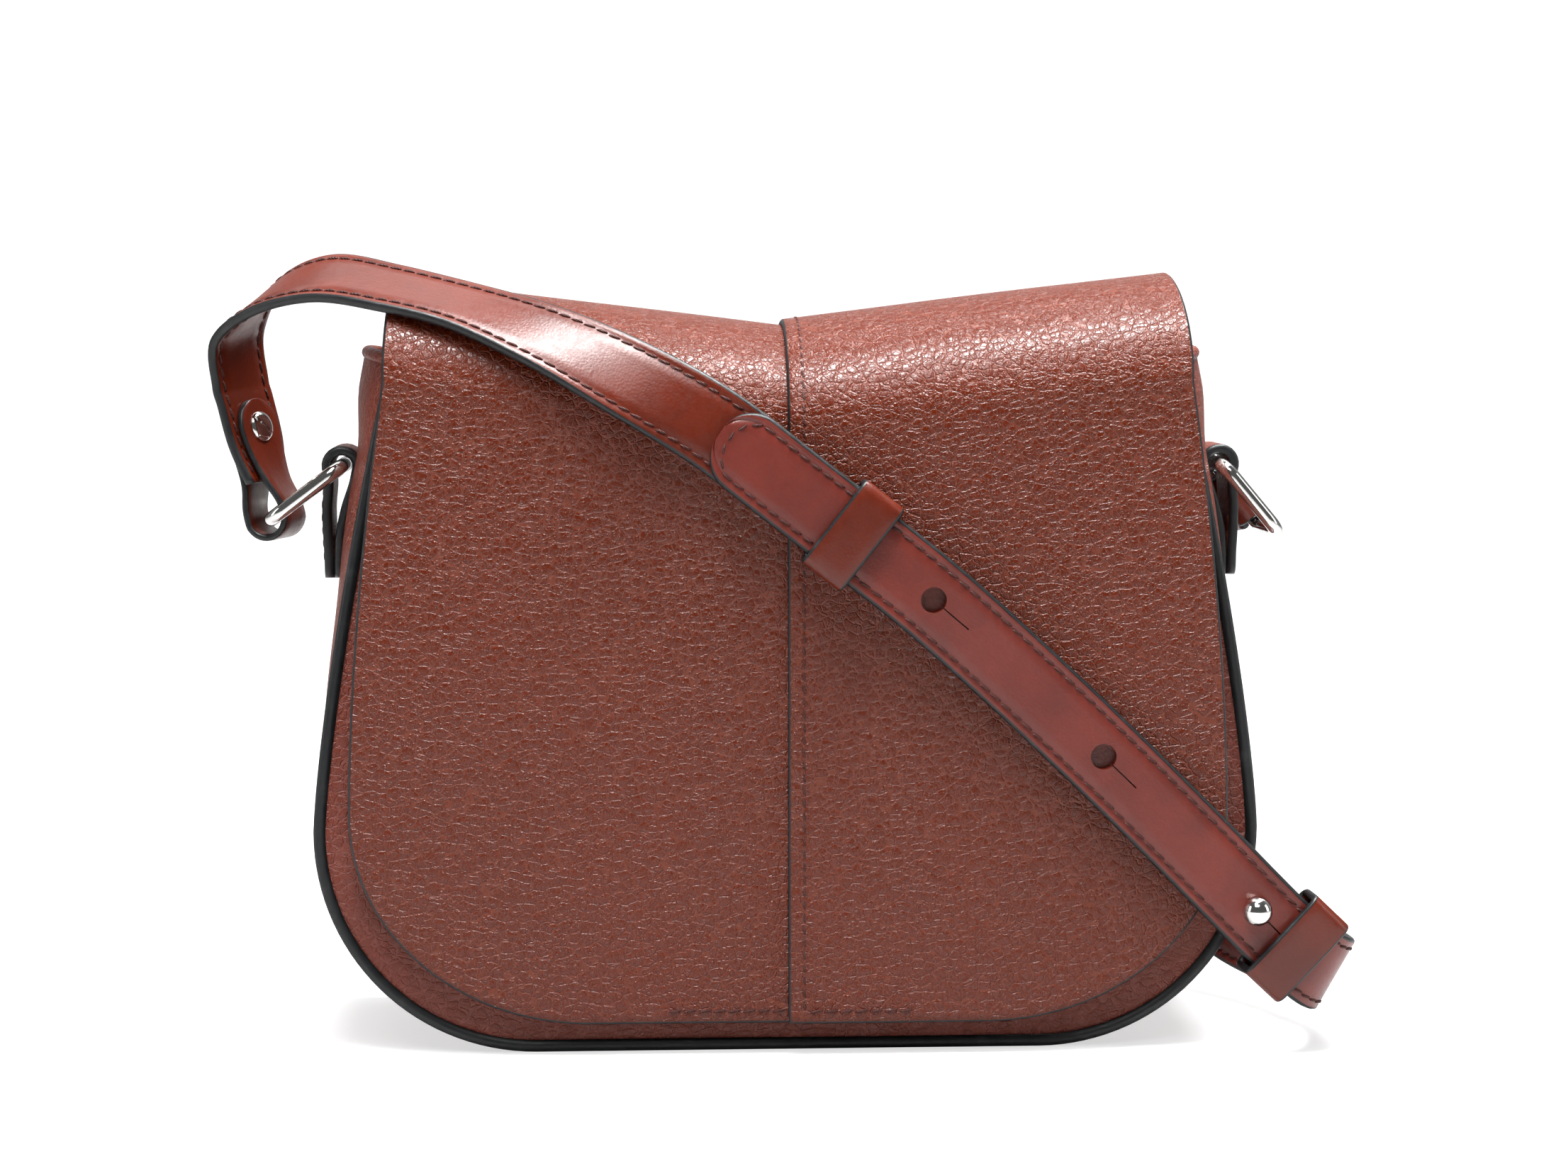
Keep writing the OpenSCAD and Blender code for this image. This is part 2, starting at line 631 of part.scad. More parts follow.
front_panel();
rear_panel();
gusset();
front_edge_welt();
rear_edge_welt();
front_stiffener();
rear_stiffener();
base_board();
lining();
slip_pocket();
flap_margin();
front_magnet();
front_magnet_washer();
left_chape();
right_chape();
flap_left_panel();
flap_right_panel();
flap_stiffener();
flap_lining();
flap_magnet();
flap_magnet_washer();
left_ring();
left_tab();
left_screw_post();
left_screw_cap();
long_strap_rise();
long_strap_span();
adjuster_span();
fixed_keeper();
adjuster_stud();
stud_screw();
sliding_keeper();
right_ring();
right_tab();
right_screw_post();
right_screw_cap();
adjuster_end();
adjuster_tail();
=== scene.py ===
"""Looks of the crossbody saddle bag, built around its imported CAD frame.

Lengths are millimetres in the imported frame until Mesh.build() turns them into metres. A soft
piece is a swept band or a lofted sheet that takes its place from the CAD nodes and joints.
"""
import json
import math

import bmesh
import bpy
import numpy as np
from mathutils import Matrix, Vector


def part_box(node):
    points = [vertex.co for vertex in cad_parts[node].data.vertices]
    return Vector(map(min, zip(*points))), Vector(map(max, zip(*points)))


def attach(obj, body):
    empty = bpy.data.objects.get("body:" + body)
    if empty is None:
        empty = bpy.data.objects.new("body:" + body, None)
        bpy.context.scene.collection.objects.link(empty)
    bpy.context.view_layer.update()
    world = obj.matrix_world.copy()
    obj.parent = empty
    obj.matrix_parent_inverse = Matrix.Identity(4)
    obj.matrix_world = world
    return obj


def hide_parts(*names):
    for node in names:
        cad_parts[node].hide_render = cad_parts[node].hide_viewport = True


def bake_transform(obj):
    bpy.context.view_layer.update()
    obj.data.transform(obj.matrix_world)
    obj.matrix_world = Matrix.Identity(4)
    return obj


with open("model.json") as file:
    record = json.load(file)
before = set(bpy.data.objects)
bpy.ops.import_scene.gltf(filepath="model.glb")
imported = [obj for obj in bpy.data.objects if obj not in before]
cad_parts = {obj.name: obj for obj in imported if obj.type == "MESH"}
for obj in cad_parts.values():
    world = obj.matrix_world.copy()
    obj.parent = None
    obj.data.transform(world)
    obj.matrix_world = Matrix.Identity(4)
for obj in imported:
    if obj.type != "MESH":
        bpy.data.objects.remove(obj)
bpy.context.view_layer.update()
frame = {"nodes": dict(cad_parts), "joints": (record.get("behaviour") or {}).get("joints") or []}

MM = 0.001


# ---- places read from the frame
def low(node):
    return np.array(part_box(node)[0]) / MM


def high(node):
    return np.array(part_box(node)[1]) / MM


def joint(name):
    return next(j for j in frame["joints"] if j["name"] == name)


def joint_place(name):
    return np.array(joint(name)["pos_m"]) / MM


def unit(v):
    v = np.asarray(v, float)
    return v / np.linalg.norm(v)


def smooth(a, b, x):
    """0 before a, 1 after b, and an even S curve between them."""
    t = np.clip((np.asarray(x, float) - a) / (b - a), 0, 1)
    return t * t * (3 - 2 * t)


# The body: a U outline that tapers above its round corners, panels that lean in, and edge welts.
BODY_W = high("gusset")[0] * 2
BODY_H = high("front_panel")[2]
CORNER_R = 56.0
BODY_TAPER = 18.0
TAPER_TOP_Z = 168.0
TAPER_CURVE = 1.35
FRONT_Y = low("front_panel")[1]
REAR_Y = high("rear_panel")[1]
FRONT_LEAN = 7.0
REAR_LEAN = 6.0
LEATHER_T = 1.8
WELT_W = 3.0
WELT_DEEP = 4.0
WELT_PROUD = 0.6

# The flap: elliptical lower corners, sides that draw in above FLAP_WAIST_Z, and a fold over the
# top that is half an ellipse (FOLD_A by FOLD_B) and rises by FLAP_RISE from the seam to each side.
FLAP_W = high("flap_right_panel")[0] * 2
FLAP_LOW = low("flap_right_panel")[2] + 1.2
FLAP_CORNER = (60.0, 52.3)
FLAP_WAIST_Z = 60.0
FLAP_DRAW_IN = 12.5
FLAP_T = 1.5
FLAP_RAISE = 1.6
FLAP_RISE = 11.0
FLAP_TOP_W = FLAP_W - 22
FLAP_TILT = math.atan(2 * FLAP_RISE / FLAP_TOP_W)
FOLD_A = 37.0
FOLD_B = 26.5
FOLD_Y = -2.0
SEAM_TOP_Z = 184.0
FOLD_W = SEAM_TOP_Z * math.cos(FLAP_TILT) - FOLD_B
FOOT_Y = 42.0
HINGE = joint_place("flap_hinge")
MARGIN_LOW = low("flap_margin")[2]

# The strap, the rings it hangs from and the tabs that hold its ends.
LEFT_LOOP = joint_place("left_ring_swing")
RIGHT_LOOP = joint_place("right_ring_swing")
LEFT_BAR = joint_place("left_tab_swing")
STRAP_W = 21.0
STRAP_T = 2.6
ADJUSTER_OFF = STRAP_T + 0.3
TAB_W = 15.0
TAB_T = 1.8
TAB_LEN = 31.0
SCREW_AT = TAB_LEN - TAB_W / 2


# ---- meshes
def placed(name, data):
    """A new object in the scene."""
    item = bpy.data.objects.new(name, data)
    bpy.context.scene.collection.objects.link(item)
    return item


class Mesh:
    """Gathers vertices and faces in millimetres, with a material index for each face."""

    def __init__(self):
        self.points, self.faces, self.marks = [], [], []

    def add(self, points, faces, mark=0):
        start = len(self.points)
        self.points.extend(tuple(p) for p in points)
        self.faces.extend([tuple(i + start for i in f) for f in faces])
        marks = mark if isinstance(mark, (list, tuple)) else [mark] * len(faces)
        self.marks.extend(marks)

    def build(self, name, materials, smooth_faces=True):
        data = bpy.data.meshes.new(name)
        data.from_pydata([tuple(c * MM for c in p) for p in self.points], [], self.faces)
        for material in materials:
            data.materials.append(material)
        data.polygons.foreach_set("material_index", self.marks)
        data.polygons.foreach_set("use_smooth", [smooth_faces] * len(data.polygons))
        data.update()
        piece = placed(name, data)
        fix_normals(data)
        return piece


def fix_normals(data):
    work = bmesh.new()
    work.from_mesh(data)
    bmesh.ops.remove_doubles(work, verts=work.verts, dist=1e-6)
    bmesh.ops.recalc_face_normals(work, faces=work.faces)
    work.to_mesh(data)
    work.free()


def grid_faces(rows, columns, wrap_rows=False, wrap_columns=False):
    faces = []
    for i in range(rows if wrap_rows else rows - 1):
        for j in range(columns if wrap_columns else columns - 1):
            a, b = i * columns, ((i + 1) % rows) * columns
            k = (j + 1) % columns
            faces.append((a + j, a + k, b + k, b + j))
    return faces


# ---- curves
def arc_lengths(points):
    step = np.linalg.norm(np.diff(points, axis=0), axis=1)
    return np.concatenate([[0], np.cumsum(step)])


def sample(at, s, rows):
    return np.array([np.interp(at, s, rows[:, k]) for k in range(3)])


def catmull(points, s):
    points = np.asarray(points, float)
    last = len(points) - 1
    i = int(min(math.floor(s), last - 1))
    u = s - i
    a, b, c, d = (points[max(0, min(last, k))] for k in (i - 1, i, i + 1, i + 2))
    return 0.5 * (2 * b + (c - a) * u + (2 * a - 5 * b + 4 * c - d) * u * u
                  + (3 * b - a - 3 * c + d) * u ** 3)


class Path:
    """A strap's centre line: points, tangents, width directions and outward normals."""

    def __init__(self, points, widths, closed=False):
        self.p = np.asarray(points, float)
        n = len(self.p)
        if closed:
            ahead, behind = np.roll(self.p, -1, 0), np.roll(self.p, 1, 0)
        else:
            index = np.arange(n)
            ahead = self.p[np.minimum(index + 1, n - 1)]
            behind = self.p[np.maximum(index - 1, 0)]
        t = ahead - behind
        self.t = t / np.linalg.norm(t, axis=1)[:, None]
        w = np.broadcast_to(np.asarray(widths, float), self.p.shape)
        normal = np.cross(self.t, w)
        self.n = normal / np.linalg.norm(normal, axis=1)[:, None]
        self.w = np.cross(self.n, self.t)
        self.s = arc_lengths(self.p)

    @property
    def length(self):
        return self.s[-1]

    def at(self, s, across=0.0, out=0.0):
        """Point, tangent, width direction and normal at arc length s."""
        p = sample(s, self.s, self.p)
        t, w, n = (unit(sample(s, self.s, a)) for a in (self.t, self.w, self.n))
        return p + across * w + out * n, t, w, n


def spline_path(points, widths, s0, s1, per_key=14):
    count = int((s1 - s0) * per_key) + 1
    stations = np.linspace(s0, s1, count)
    return Path([catmull(points, s) for s in stations], [catmull(widths, s) for s in stations])


def arc(centre, radius, a0, a1, count):
    return [(centre[0] + radius * math.cos(a), centre[1] + radius * math.sin(a))
            for a in np.radians(np.linspace(a0, a1, count))]


def rounded_box(x0, x1, y0, y1, r, count):
    """Points round a rectangle with round corners, from the end of its right side onwards."""
    corners = ((x1 - r, y1 - r), (x0 + r, y1 - r), (x0 + r, y0 + r), (x1 - r, y0 + r))
    return [point for k, centre in enumerate(corners)
            for point in arc(centre, r, 90 * k, 90 * k + 90, count)]


# ---- bands, wires and turned parts
EDGE_ROUND = 5
GROOVE_W = 0.8
GROOVE_DEEP = 0.35


def band_profile(half, thick, grooves):
    """Closed outline of a flat band in (across, out), with the mark of each of its sides."""
    q = thick / 2
    r = min(0.75 * q, 0.9)
    lines = []
    for g in grooves:
        reach = half - g
        lines += [(-reach - GROOVE_W, 0), (-reach, -GROOVE_DEEP), (-reach + GROOVE_W, 0)]
        lines += [(reach - GROOVE_W, 0), (reach, -GROOVE_DEEP), (reach + GROOVE_W, 0)]
    lines += [(x * (half - r), 0) for x in (-0.5, 0, 0.5)] if half > 6 else [(0, 0)]
    lines = sorted(lines)
    top = [(x, q + dz) for x, dz in lines]
    right = [(half - r + r * math.sin(a), q * math.cos(a)) for a in
             np.radians(np.linspace(0, 180, EDGE_ROUND + 2))]
    bottom = [(x, -q - dz) for x, dz in reversed(lines)]
    left = [(-x, -y) for x, y in right]
    outline = top + right + bottom + left
    marks = []
    for i in range(len(outline)):
        in_right = len(top) <= i < len(top) + len(right) - 1
        in_left = len(top) + len(right) + len(bottom) <= i < len(outline) - 1
        marks.append(1 if in_right or in_left else 0)
    return outline, marks


def skin(mesh, rings, marks=None, closed=False):
    """Joins rings of points into one surface, with a flat cap at each end unless it is closed.

    marks gives the material of each strip along the rings; the caps of such a skin are painted.
    """
    count = len(rings[0])
    points = [q for ring_ in rings for q in ring_]
    faces = grid_faces(len(rings), count, wrap_rows=closed, wrap_columns=True)
    face_marks = list(marks) * (len(faces) // count) if marks else [0] * len(faces)
    if not closed:
        faces += [tuple(reversed(range(count))), tuple(range(len(points) - count, len(points)))]
        face_marks += [1, 1] if marks else [0, 0]
    mesh.add(points, faces, face_marks)


def band(mesh, path, stations, halves, thick, grooves=(), out=0.0):
    """Sweeps a flat band along a path, with a half-width and a distance outside it per station."""
    widest = max(halves)
    profile, marks = band_profile(widest, thick, grooves)
    rings = []
    for s, half, off in zip(stations, halves, np.broadcast_to(out, len(stations))):
        p, _, w, n = path.at(s, 0, off)
        rings.append([p + w * x * half / widest + n * y for x, y in profile])
    skin(mesh, rings, marks)


def tipped(s0, s1, half, tip0=0.0, tip1=0.0, step=1.5):
    """Stations and half-widths of a band from s0 to s1 whose ends may be round, with a radius."""
    stations, halves = [], []
    turn = np.radians(np.linspace(8, 90, 12))
    if tip0:
        stations += [s0 + tip0 * (1 - math.cos(a)) for a in turn]
        halves += [half - tip0 + tip0 * math.sin(a) for a in turn]
    a0, a1 = s0 + tip0, s1 - tip1
    count = max(2, int((a1 - a0) / step))
    straight = np.linspace(a0, a1, count + 1)[1 if tip0 else 0:]
    stations += list(straight)
    halves += [half] * len(straight)
    if tip1:
        stations += [s1 - tip1 * (1 - math.cos(a)) for a in turn[::-1][1:]]
        halves += [half - tip1 + tip1 * math.sin(a) for a in turn[::-1][1:]]
    return stations, halves


def wire(path, radius, sides):
    """Rings of points round a path."""
    turn = np.linspace(0, 2 * math.pi, sides, endpoint=False)
    return [[p + radius * (math.cos(a) * w + math.sin(a) * n) for a in turn]
            for p, w, n in zip(path.p, path.w, path.n)]


def lathe(mesh, profile, centre, axis, sides=48):
    """Turns (radius, height) pairs round an axis through centre."""
    z = unit(axis)
    x = unit(np.cross(z, (0.13, 0.94, 0.31)))
    y = np.cross(z, x)
    turn = np.linspace(0, 2 * math.pi, sides, endpoint=False)
    skin(mesh, [[np.asarray(centre) + r * (math.cos(a) * x + math.sin(a) * y) + h * z
                 for a in turn] for r, h in profile])


# ---- stitches
THREAD_R = 0.36
STITCH_SIDES = 6
STITCH_RINGS = 7
STITCH_THINNING = 0.25
STITCH_SUNK = 0.05
STITCH_DIP = 0.38
STITCH_FILL = 0.88
STITCH_SLANT = math.radians(9)


def stitch(mesh, point, along, normal, length):
    """One thread stitch, sinking into the leather at both ends."""
    along, normal = unit(along), unit(normal)
    side = np.cross(normal, along)
    along = along * math.cos(STITCH_SLANT) + side * math.sin(STITCH_SLANT)
    side = np.cross(normal, along)
    rings = []
    for f in np.linspace(-1, 1, STITCH_RINGS):
        fat = THREAD_R * (1 - STITCH_THINNING * f * f)
        lift = -STITCH_SUNK - STITCH_DIP * f ** 4
        centre = np.asarray(point) + along * f * length / 2 + normal * lift
        rings.append([centre + fat * (math.cos(a) * side + math.sin(a) * normal) for a in
                      np.linspace(0, 2 * math.pi, STITCH_SIDES, endpoint=False)])
    skin(mesh, rings)


def stitch_line(mesh, rows, pitch):
    """Stitches along a row of (point on the surface, its normal) pairs."""
    points, normals = (np.array(a, float) for a in zip(*rows))
    s = arc_lengths(points)
    count = max(1, int(round(s[-1] / pitch)))
    pace = s[-1] / count
    for i in range(count):
        at = (i + 0.5) * pace
        along = sample(min(at + 0.3, s[-1]), s, points) - sample(max(at - 0.3, 0), s, points)
        stitch(mesh, sample(at, s, points), along, sample(at, s, normals), STITCH_FILL * pace)


def band_stitches(mesh, path, line, pitch, out):
    """Stitches on a band along a line of (arc length, across) pairs."""
    side = 1 if out > 0 else -1
    rows = [path.at(s, x, out) for s, x in line]
    stitch_line(mesh, [(p, n * side) for p, _, _, n in rows], pitch)


def straight_row(s0, s1, across):
    return [(s, across) for s in np.linspace(s0, s1, max(3, int((s1 - s0) / 2)))]


# ---- materials
def linear(*rgb):
    """An sRGB colour of 0-255 as linear RGBA."""
    out = [c / 255 / 12.92 if c / 255 <= 0.04045 else ((c / 255 + 0.055) / 1.055) ** 2.4
           for c in rgb]
    return (*out, 1)


def toned(colour, by):
    return (*(c * by for c in colour[:3]), 1)


def join(tree, value, socket):
    """Links a socket to the other one, or gives it a fixed value."""
    if isinstance(value, bpy.types.NodeSocket):
        tree.links.new(value, socket)
    else:
        socket.default_value = value


class Nodes:
    """Short calls that add and join shader nodes."""

    def __init__(self, name):
        self.material = bpy.data.materials.new(name)
        self.material.use_nodes = True
        self.tree = self.material.node_tree
        self.shader = self.tree.nodes["Principled BSDF"]
        self.place = self.add("ShaderNodeTexCoord").outputs["Object"]

    def add(self, kind, **settings):
        node = self.tree.nodes.new(kind)
        for key, value in settings.items():
            setattr(node, key, value)
        return node

    def join(self, value, socket):
        join(self.tree, value, socket)

    def math(self, operation, a, b):
        node = self.add("ShaderNodeMath", operation=operation)
        self.join(a, node.inputs[0])
        self.join(b, node.inputs[1])
        return node.outputs[0]

    def times(self, a, b):
        return self.math("MULTIPLY", a, b)

    def plus(self, a, b):
        return self.math("ADD", a, b)

    def remap(self, value, a, b, c=0.0, d=1.0):
        node = self.add("ShaderNodeMapRange", interpolation_type="SMOOTHSTEP")
        for socket, item in zip(node.inputs, (value, a, b, c, d)):
            self.join(item, socket)
        return node.outputs[0]

    def stretched(self, scale):
        """Object coordinates measured in steps of scale millimetres: one scale, or three."""
        node = self.add("ShaderNodeMapping")
        self.join(self.place, node.inputs["Vector"])
        node.inputs["Scale"].default_value = [1 / (s * MM) for s in np.broadcast_to(scale, 3)]
        return node.outputs[0]

    def noise(self, vector, scale=1.0, detail=3.0, rough=0.55, output="Fac"):
        node = self.add("ShaderNodeTexNoise")
        self.join(vector, node.inputs["Vector"])
        node.inputs["Scale"].default_value = scale
        node.inputs["Detail"].default_value = detail
        node.inputs["Roughness"].default_value = rough
        return node.outputs[output]

    def cloud(self, size, detail, rough=0.55):
        return self.noise(self.stretched(size), 1.0, detail, rough)

    def cells(self, vector, scale, feature="DISTANCE_TO_EDGE"):
        node = self.add("ShaderNodeTexVoronoi", feature=feature)
        self.join(vector, node.inputs["Vector"])
        node.inputs["Scale"].default_value = scale
        return node.outputs["Distance"]

    def wave(self, size, distortion, direction):
        node = self.add("ShaderNodeTexWave", wave_type="BANDS", bands_direction=direction)
        self.join(self.stretched(size), node.inputs["Vector"])
        node.inputs["Scale"].default_value = 1.0
        node.inputs["Distortion"].default_value = distortion
        return node.outputs["Fac"]

    def warp(self, vector, amount, scale):
        """The vector pushed about by noise."""
        colour = self.noise(vector, scale, 2.0, 0.5, "Color")
        centred = self.add("ShaderNodeVectorMath", operation="SUBTRACT")
        self.join(colour, centred.inputs[0])
        centred.inputs[1].default_value = (0.5, 0.5, 0.5)
        push = self.add("ShaderNodeVectorMath", operation="MULTIPLY_ADD")
        self.join(centred.outputs[0], push.inputs[0])
        push.inputs[1].default_value = (amount, amount, amount)
        self.join(vector, push.inputs[2])
        return push.outputs[0]

    def mix(self, factor, a, b):
        node = self.add("ShaderNodeMix", data_type="RGBA")
        self.join(factor, node.inputs["Factor"])
        self.join(a, node.inputs[6])
        self.join(b, node.inputs[7])
        return node.outputs[2]

    def bump(self, height, depth_mm):
        node = self.add("ShaderNodeBump")
        node.inputs["Strength"].default_value = 1.0
        node.inputs["Distance"].default_value = depth_mm * MM
        self.join(height, node.inputs["Height"])
        return node.outputs[0]

    def finish(self, colour, rough, normal=None, **inputs):
        self.join(colour, self.shader.inputs["Base Color"])
        self.join(rough, self.shader.inputs["Roughness"])
        if normal is not None:
            self.join(normal, self.shader.inputs["Normal"])
        for key, value in inputs.items():
            self.join(value, self.shader.inputs[key.replace("_", " ")])
        return self.material


GRAIN_CELL = 2.8


def pebbled_leather(name, base, crease, rough=0.24, coat=0.02):
    """Full-grain leather with soft pebbles, a net of fine creases and a few longer wrinkles. The
    creases take a lighter colour, a painted reflection of the lamps on their slopes.
    """
    n = Nodes(name)
    place = n.stretched((GRAIN_CELL, GRAIN_CELL, GRAIN_CELL * 0.82))
    bent = n.warp(n.warp(place, 0.7, 0.8), 0.25, 3.1)
    net = n.remap(n.cells(bent, 1.0), 0.0, 0.11)
    domes = n.remap(n.cells(bent, 1.0, "F1"), 0.1, 0.75, 1.0, 0.0)
    fine = n.remap(n.cells(n.warp(place, 0.6, 2.3), 2.1), 0.0, 0.12)
    wrinkles = n.remap(n.cells(n.warp(n.stretched((3.2, 4, 7.5)), 1.1, 0.9), 1.0), 0.0, 0.05)
    pores = n.cloud(0.5, 4.0, 0.6)
    patches = n.cloud(26, 2.0)
    lines = n.times(net, n.plus(n.times(fine, 0.32), 0.68))
    lines = n.times(lines, n.plus(n.times(wrinkles, 0.45), 0.55))
    height = n.plus(lines, n.times(domes, 0.45))
    height = n.plus(height, n.times(pores, 0.1))
    shade = n.remap(lines, 0.2, 0.9)
    # painted reflection: the lighter crease colour fills the creases in place of light caught on
    # their slopes
    colour = n.mix(shade, crease, base)
    colour = n.mix(n.times(n.remap(patches, 0.35, 0.75), 0.35), colour, toned(base, 1.25))
    roughness = n.plus(n.times(shade, -0.12), rough + 0.12)
    return n.finish(colour, roughness, n.bump(height, 0.2), Coat_Weight=coat,
                    Coat_Roughness=0.3, Specular_IOR_Level=0.45)


def smooth_leather(name, base, dark, rough=0.32, coat=0.1):
    """Smooth vegetable-tanned strap leather: faint pores, pulled-up tone and a waxed sheen."""
    n = Nodes(name)
    pores = n.cells(n.warp(n.stretched(0.7), 0.5, 1.0), 1.0, "F1")
    fibre = n.cloud(1.6, 5.0, 0.6)
    tone = n.cloud(16, 3.0)
    colour = n.mix(n.remap(tone, 0.32, 0.7), base, dark)
    colour = n.mix(n.times(n.remap(fibre, 0.45, 0.75), 0.25), colour, dark)
    height = n.plus(n.times(pores, 0.6), n.times(fibre, 0.7))
    roughness = n.remap(fibre, 0.2, 0.8, rough - 0.05, rough + 0.09)
    return n.finish(colour, roughness, n.bump(height, 0.05), Coat_Weight=coat,
                    Coat_Roughness=0.25, Specular_IOR_Level=0.45)


def painted_edge(name, base):
    """Edge paint: a slightly uneven rubbery coat with a dull shine, worn paler in places."""
    n = Nodes(name)
    lumps = n.cloud(2.2, 3.0)
    wear = n.remap(n.cloud(9, 4.0, 0.65), 0.56, 0.74)
    worn = linear(64, 64, 66)
    colour = n.mix(n.times(wear, 0.35), base, worn)
    return n.finish(colour, n.remap(lumps, 0.2, 0.8, 0.34, 0.52), n.bump(lumps, 0.12),
                    Specular_IOR_Level=0.5)


def thread(name, base):
    """Waxed thread with a tight twist, with painted shade darkening the grooves between its plies.
    """
    n = Nodes(name)
    twist = n.wave(0.9, 0.6, "DIAGONAL")
    # painted shade: the twist's low bands take a darker copy of the thread colour
    return n.finish(n.mix(twist, toned(base, 0.55), base), 0.62, n.bump(twist, 0.12))


def woven_cloth(name, base, dark, pitch=0.7):
    """Plain-weave lining cloth: warp and weft ribs under slow tonal streaks, with painted shade in
    the low places between the ribs.
    """
    n = Nodes(name)
    ribs = [n.wave(pitch * 3, 0.4, direction) for direction in "XYZ"]
    weave = n.times(n.plus(ribs[0], ribs[1]), ribs[2])
    streak = n.cloud((3, 30, 8), 3.0)
    # painted shade: the dark colour fills the low places of the weave, where the bump sinks
    colour = n.mix(n.remap(weave, 0.1, 1.1), dark, base)
    colour = n.mix(n.times(streak, 0.3), colour, dark)
    return n.finish(colour, 0.82, n.bump(weave, 0.16), Sheen_Weight=0.3, Sheen_Roughness=0.5)


def suede(name, base, dark):
    """Brushed split leather with a short nap lying in patches."""
    n = Nodes(name)
    nap = n.cloud((0.35, 0.35, 1.1), 4.0, 0.7)
    lay = n.cloud((14, 14, 22), 3.0)
    colour = n.mix(n.remap(lay, 0.38, 0.66), base, dark)
    colour = n.mix(n.times(nap, 0.35), colour, dark)
    return n.finish(colour, 0.9, n.bump(nap, 0.22), Sheen_Weight=0.6, Sheen_Roughness=0.4)


def plated_metal(name, base, rough=0.1):
    """Polished plating with faint haze and hairline handling marks."""
    n = Nodes(name)
    haze = n.cloud(5, 4.0, 0.6)
    marks = n.cloud((0.25, 3.5, 0.6), 3.0, 0.7)
    worn = n.remap(marks, 0.58, 0.78, 0.0, 0.14)
    roughness = n.plus(n.remap(haze, 0.3, 0.7, rough * 0.6, rough * 1.5), worn)
    colour = n.mix(n.remap(haze, 0.3, 0.75), base, toned(base, 0.86))
    return n.finish(colour, roughness, n.bump(marks, 0.006), Metallic=1.0)


def fibre_board(name, base, dark):
    """Pressed leather board: short fibres and flecks."""
    n = Nodes(name)
    fibre = n.cloud((0.5, 2.8, 0.5), 5.0, 0.7)
    fleck = n.remap(n.cloud(1.4, 2.0), 0.6, 0.7)
    colour = n.mix(fibre, base, dark)
    colour = n.mix(n.times(fleck, 0.5), colour, dark)
    return n.finish(colour, 0.86, n.bump(fibre, 0.15))


# Each pebbled leather's second colour, lighter than its base, is the painted reflection laid in its
# creases.
FLAP_LEATHER = pebbled_leather("flap_leather", linear(91, 28, 3), linear(106, 44, 24))
BODY_LEATHER = pebbled_leather("body_leather", linear(112, 47, 32), linear(124, 64, 52), 0.36)
STRAP_LEATHER = smooth_leather("strap_leather_look", linear(98, 30, 9), linear(84, 25, 8))
SPAN_LEATHER = smooth_leather("span_leather", linear(114, 43, 33), linear(98, 37, 29), 0.33, 0.1)
EDGE = painted_edge("edge_paint", linear(17, 19, 21))
THREAD = thread("brown_thread", linear(80, 27, 16))
CLOTH = woven_cloth("lining_weave", linear(150, 118, 92), linear(112, 84, 64))
SUEDE = suede("flap_suede_look", linear(150, 104, 78), linear(118, 78, 58))
NICKEL = plated_metal("nickel_look", (0.80, 0.79, 0.77, 1), 0.09)
SNAP = plated_metal("snap_look", (0.62, 0.60, 0.57, 1), 0.22)
BOARD = fibre_board("board_look", linear(176, 140, 104), linear(132, 98, 68))


# ---- leather sheets
EDGE_STEPS = 4


def sheet(mesh, outer, normals, thick, edge_mark=1):
    """A closed slab under a grid of outer points, with a rounded edge all the way round."""
    rows, columns = outer.shape[:2]
    inner = outer - normals * thick
    flat = np.concatenate([outer.reshape(-1, 3), inner.reshape(-1, 3)])
    front = grid_faces(rows, columns)
    offset = rows * columns
    back = [tuple(i + offset for i in reversed(f)) for f in front]
    rim = ([(0, j) for j in range(columns)] + [(i, columns - 1) for i in range(1, rows)]
           + [(rows - 1, j) for j in range(columns - 2, -1, -1)]
           + [(i, 0) for i in range(rows - 2, 0, -1)])
    around = np.array([outer[i, j] for i, j in rim])
    up = np.array([normals[i, j] for i, j in rim])
    along = np.roll(around, -1, 0) - np.roll(around, 1, 0)
    away = np.cross(along, up)
    away /= np.maximum(np.linalg.norm(away, axis=1), 1e-9)[:, None]
    middle = flat[:offset].mean(0)
    if np.sum((around - middle) * away) < 0:
        away = -away
    layers = [[i * columns + j for i, j in rim]]
    points = [flat]
    start = len(flat)
    for k in range(1, EDGE_STEPS):
        f = k / EDGE_STEPS
        bulge = 0.42 * thick * math.sin(math.pi * f)
        points.append(around - up * thick * f + away * bulge)
        layers.append(list(range(start, start + len(rim))))
        start += len(rim)
    layers.append([offset + i * columns + j for i, j in rim])
    edges = []
    for a, b in zip(layers[:-1], layers[1:]):
        for k in range(len(rim)):
            m = (k + 1) % len(rim)
            edges.append((a[k], b[k], b[m], a[m]))
    faces = front + back + edges
    marks = [0] * (len(front) + len(back)) + [edge_mark] * len(edges)
    mesh.add(np.concatenate(points), faces, marks)


def finished(piece, body, slot, *nodes):
    """Rides on a body and stands for its CAD nodes, which it hides. The slot argument is not used.
    """
    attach(piece, body)
    if nodes:
        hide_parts(*nodes)
    return piece


# ---- flap
FLAP_BACK_X = 99.4
MARGIN_Y = high("flap_margin")[1]
FOLD_ROWS = 40


def wander(x, z):
    """Slow unevenness of hand-laid leather, in millimetres."""
    return (0.22 * math.sin(x / 31 + 0.6) * math.cos(z / 27 - 0.4)
            + 0.13 * math.sin(x / 14 - z / 19 + 1.1))


def flap_side(z):
    return FLAP_W / 2 - FLAP_DRAW_IN * (max(0.0, z - FLAP_WAIST_Z) / 130) ** 1.7


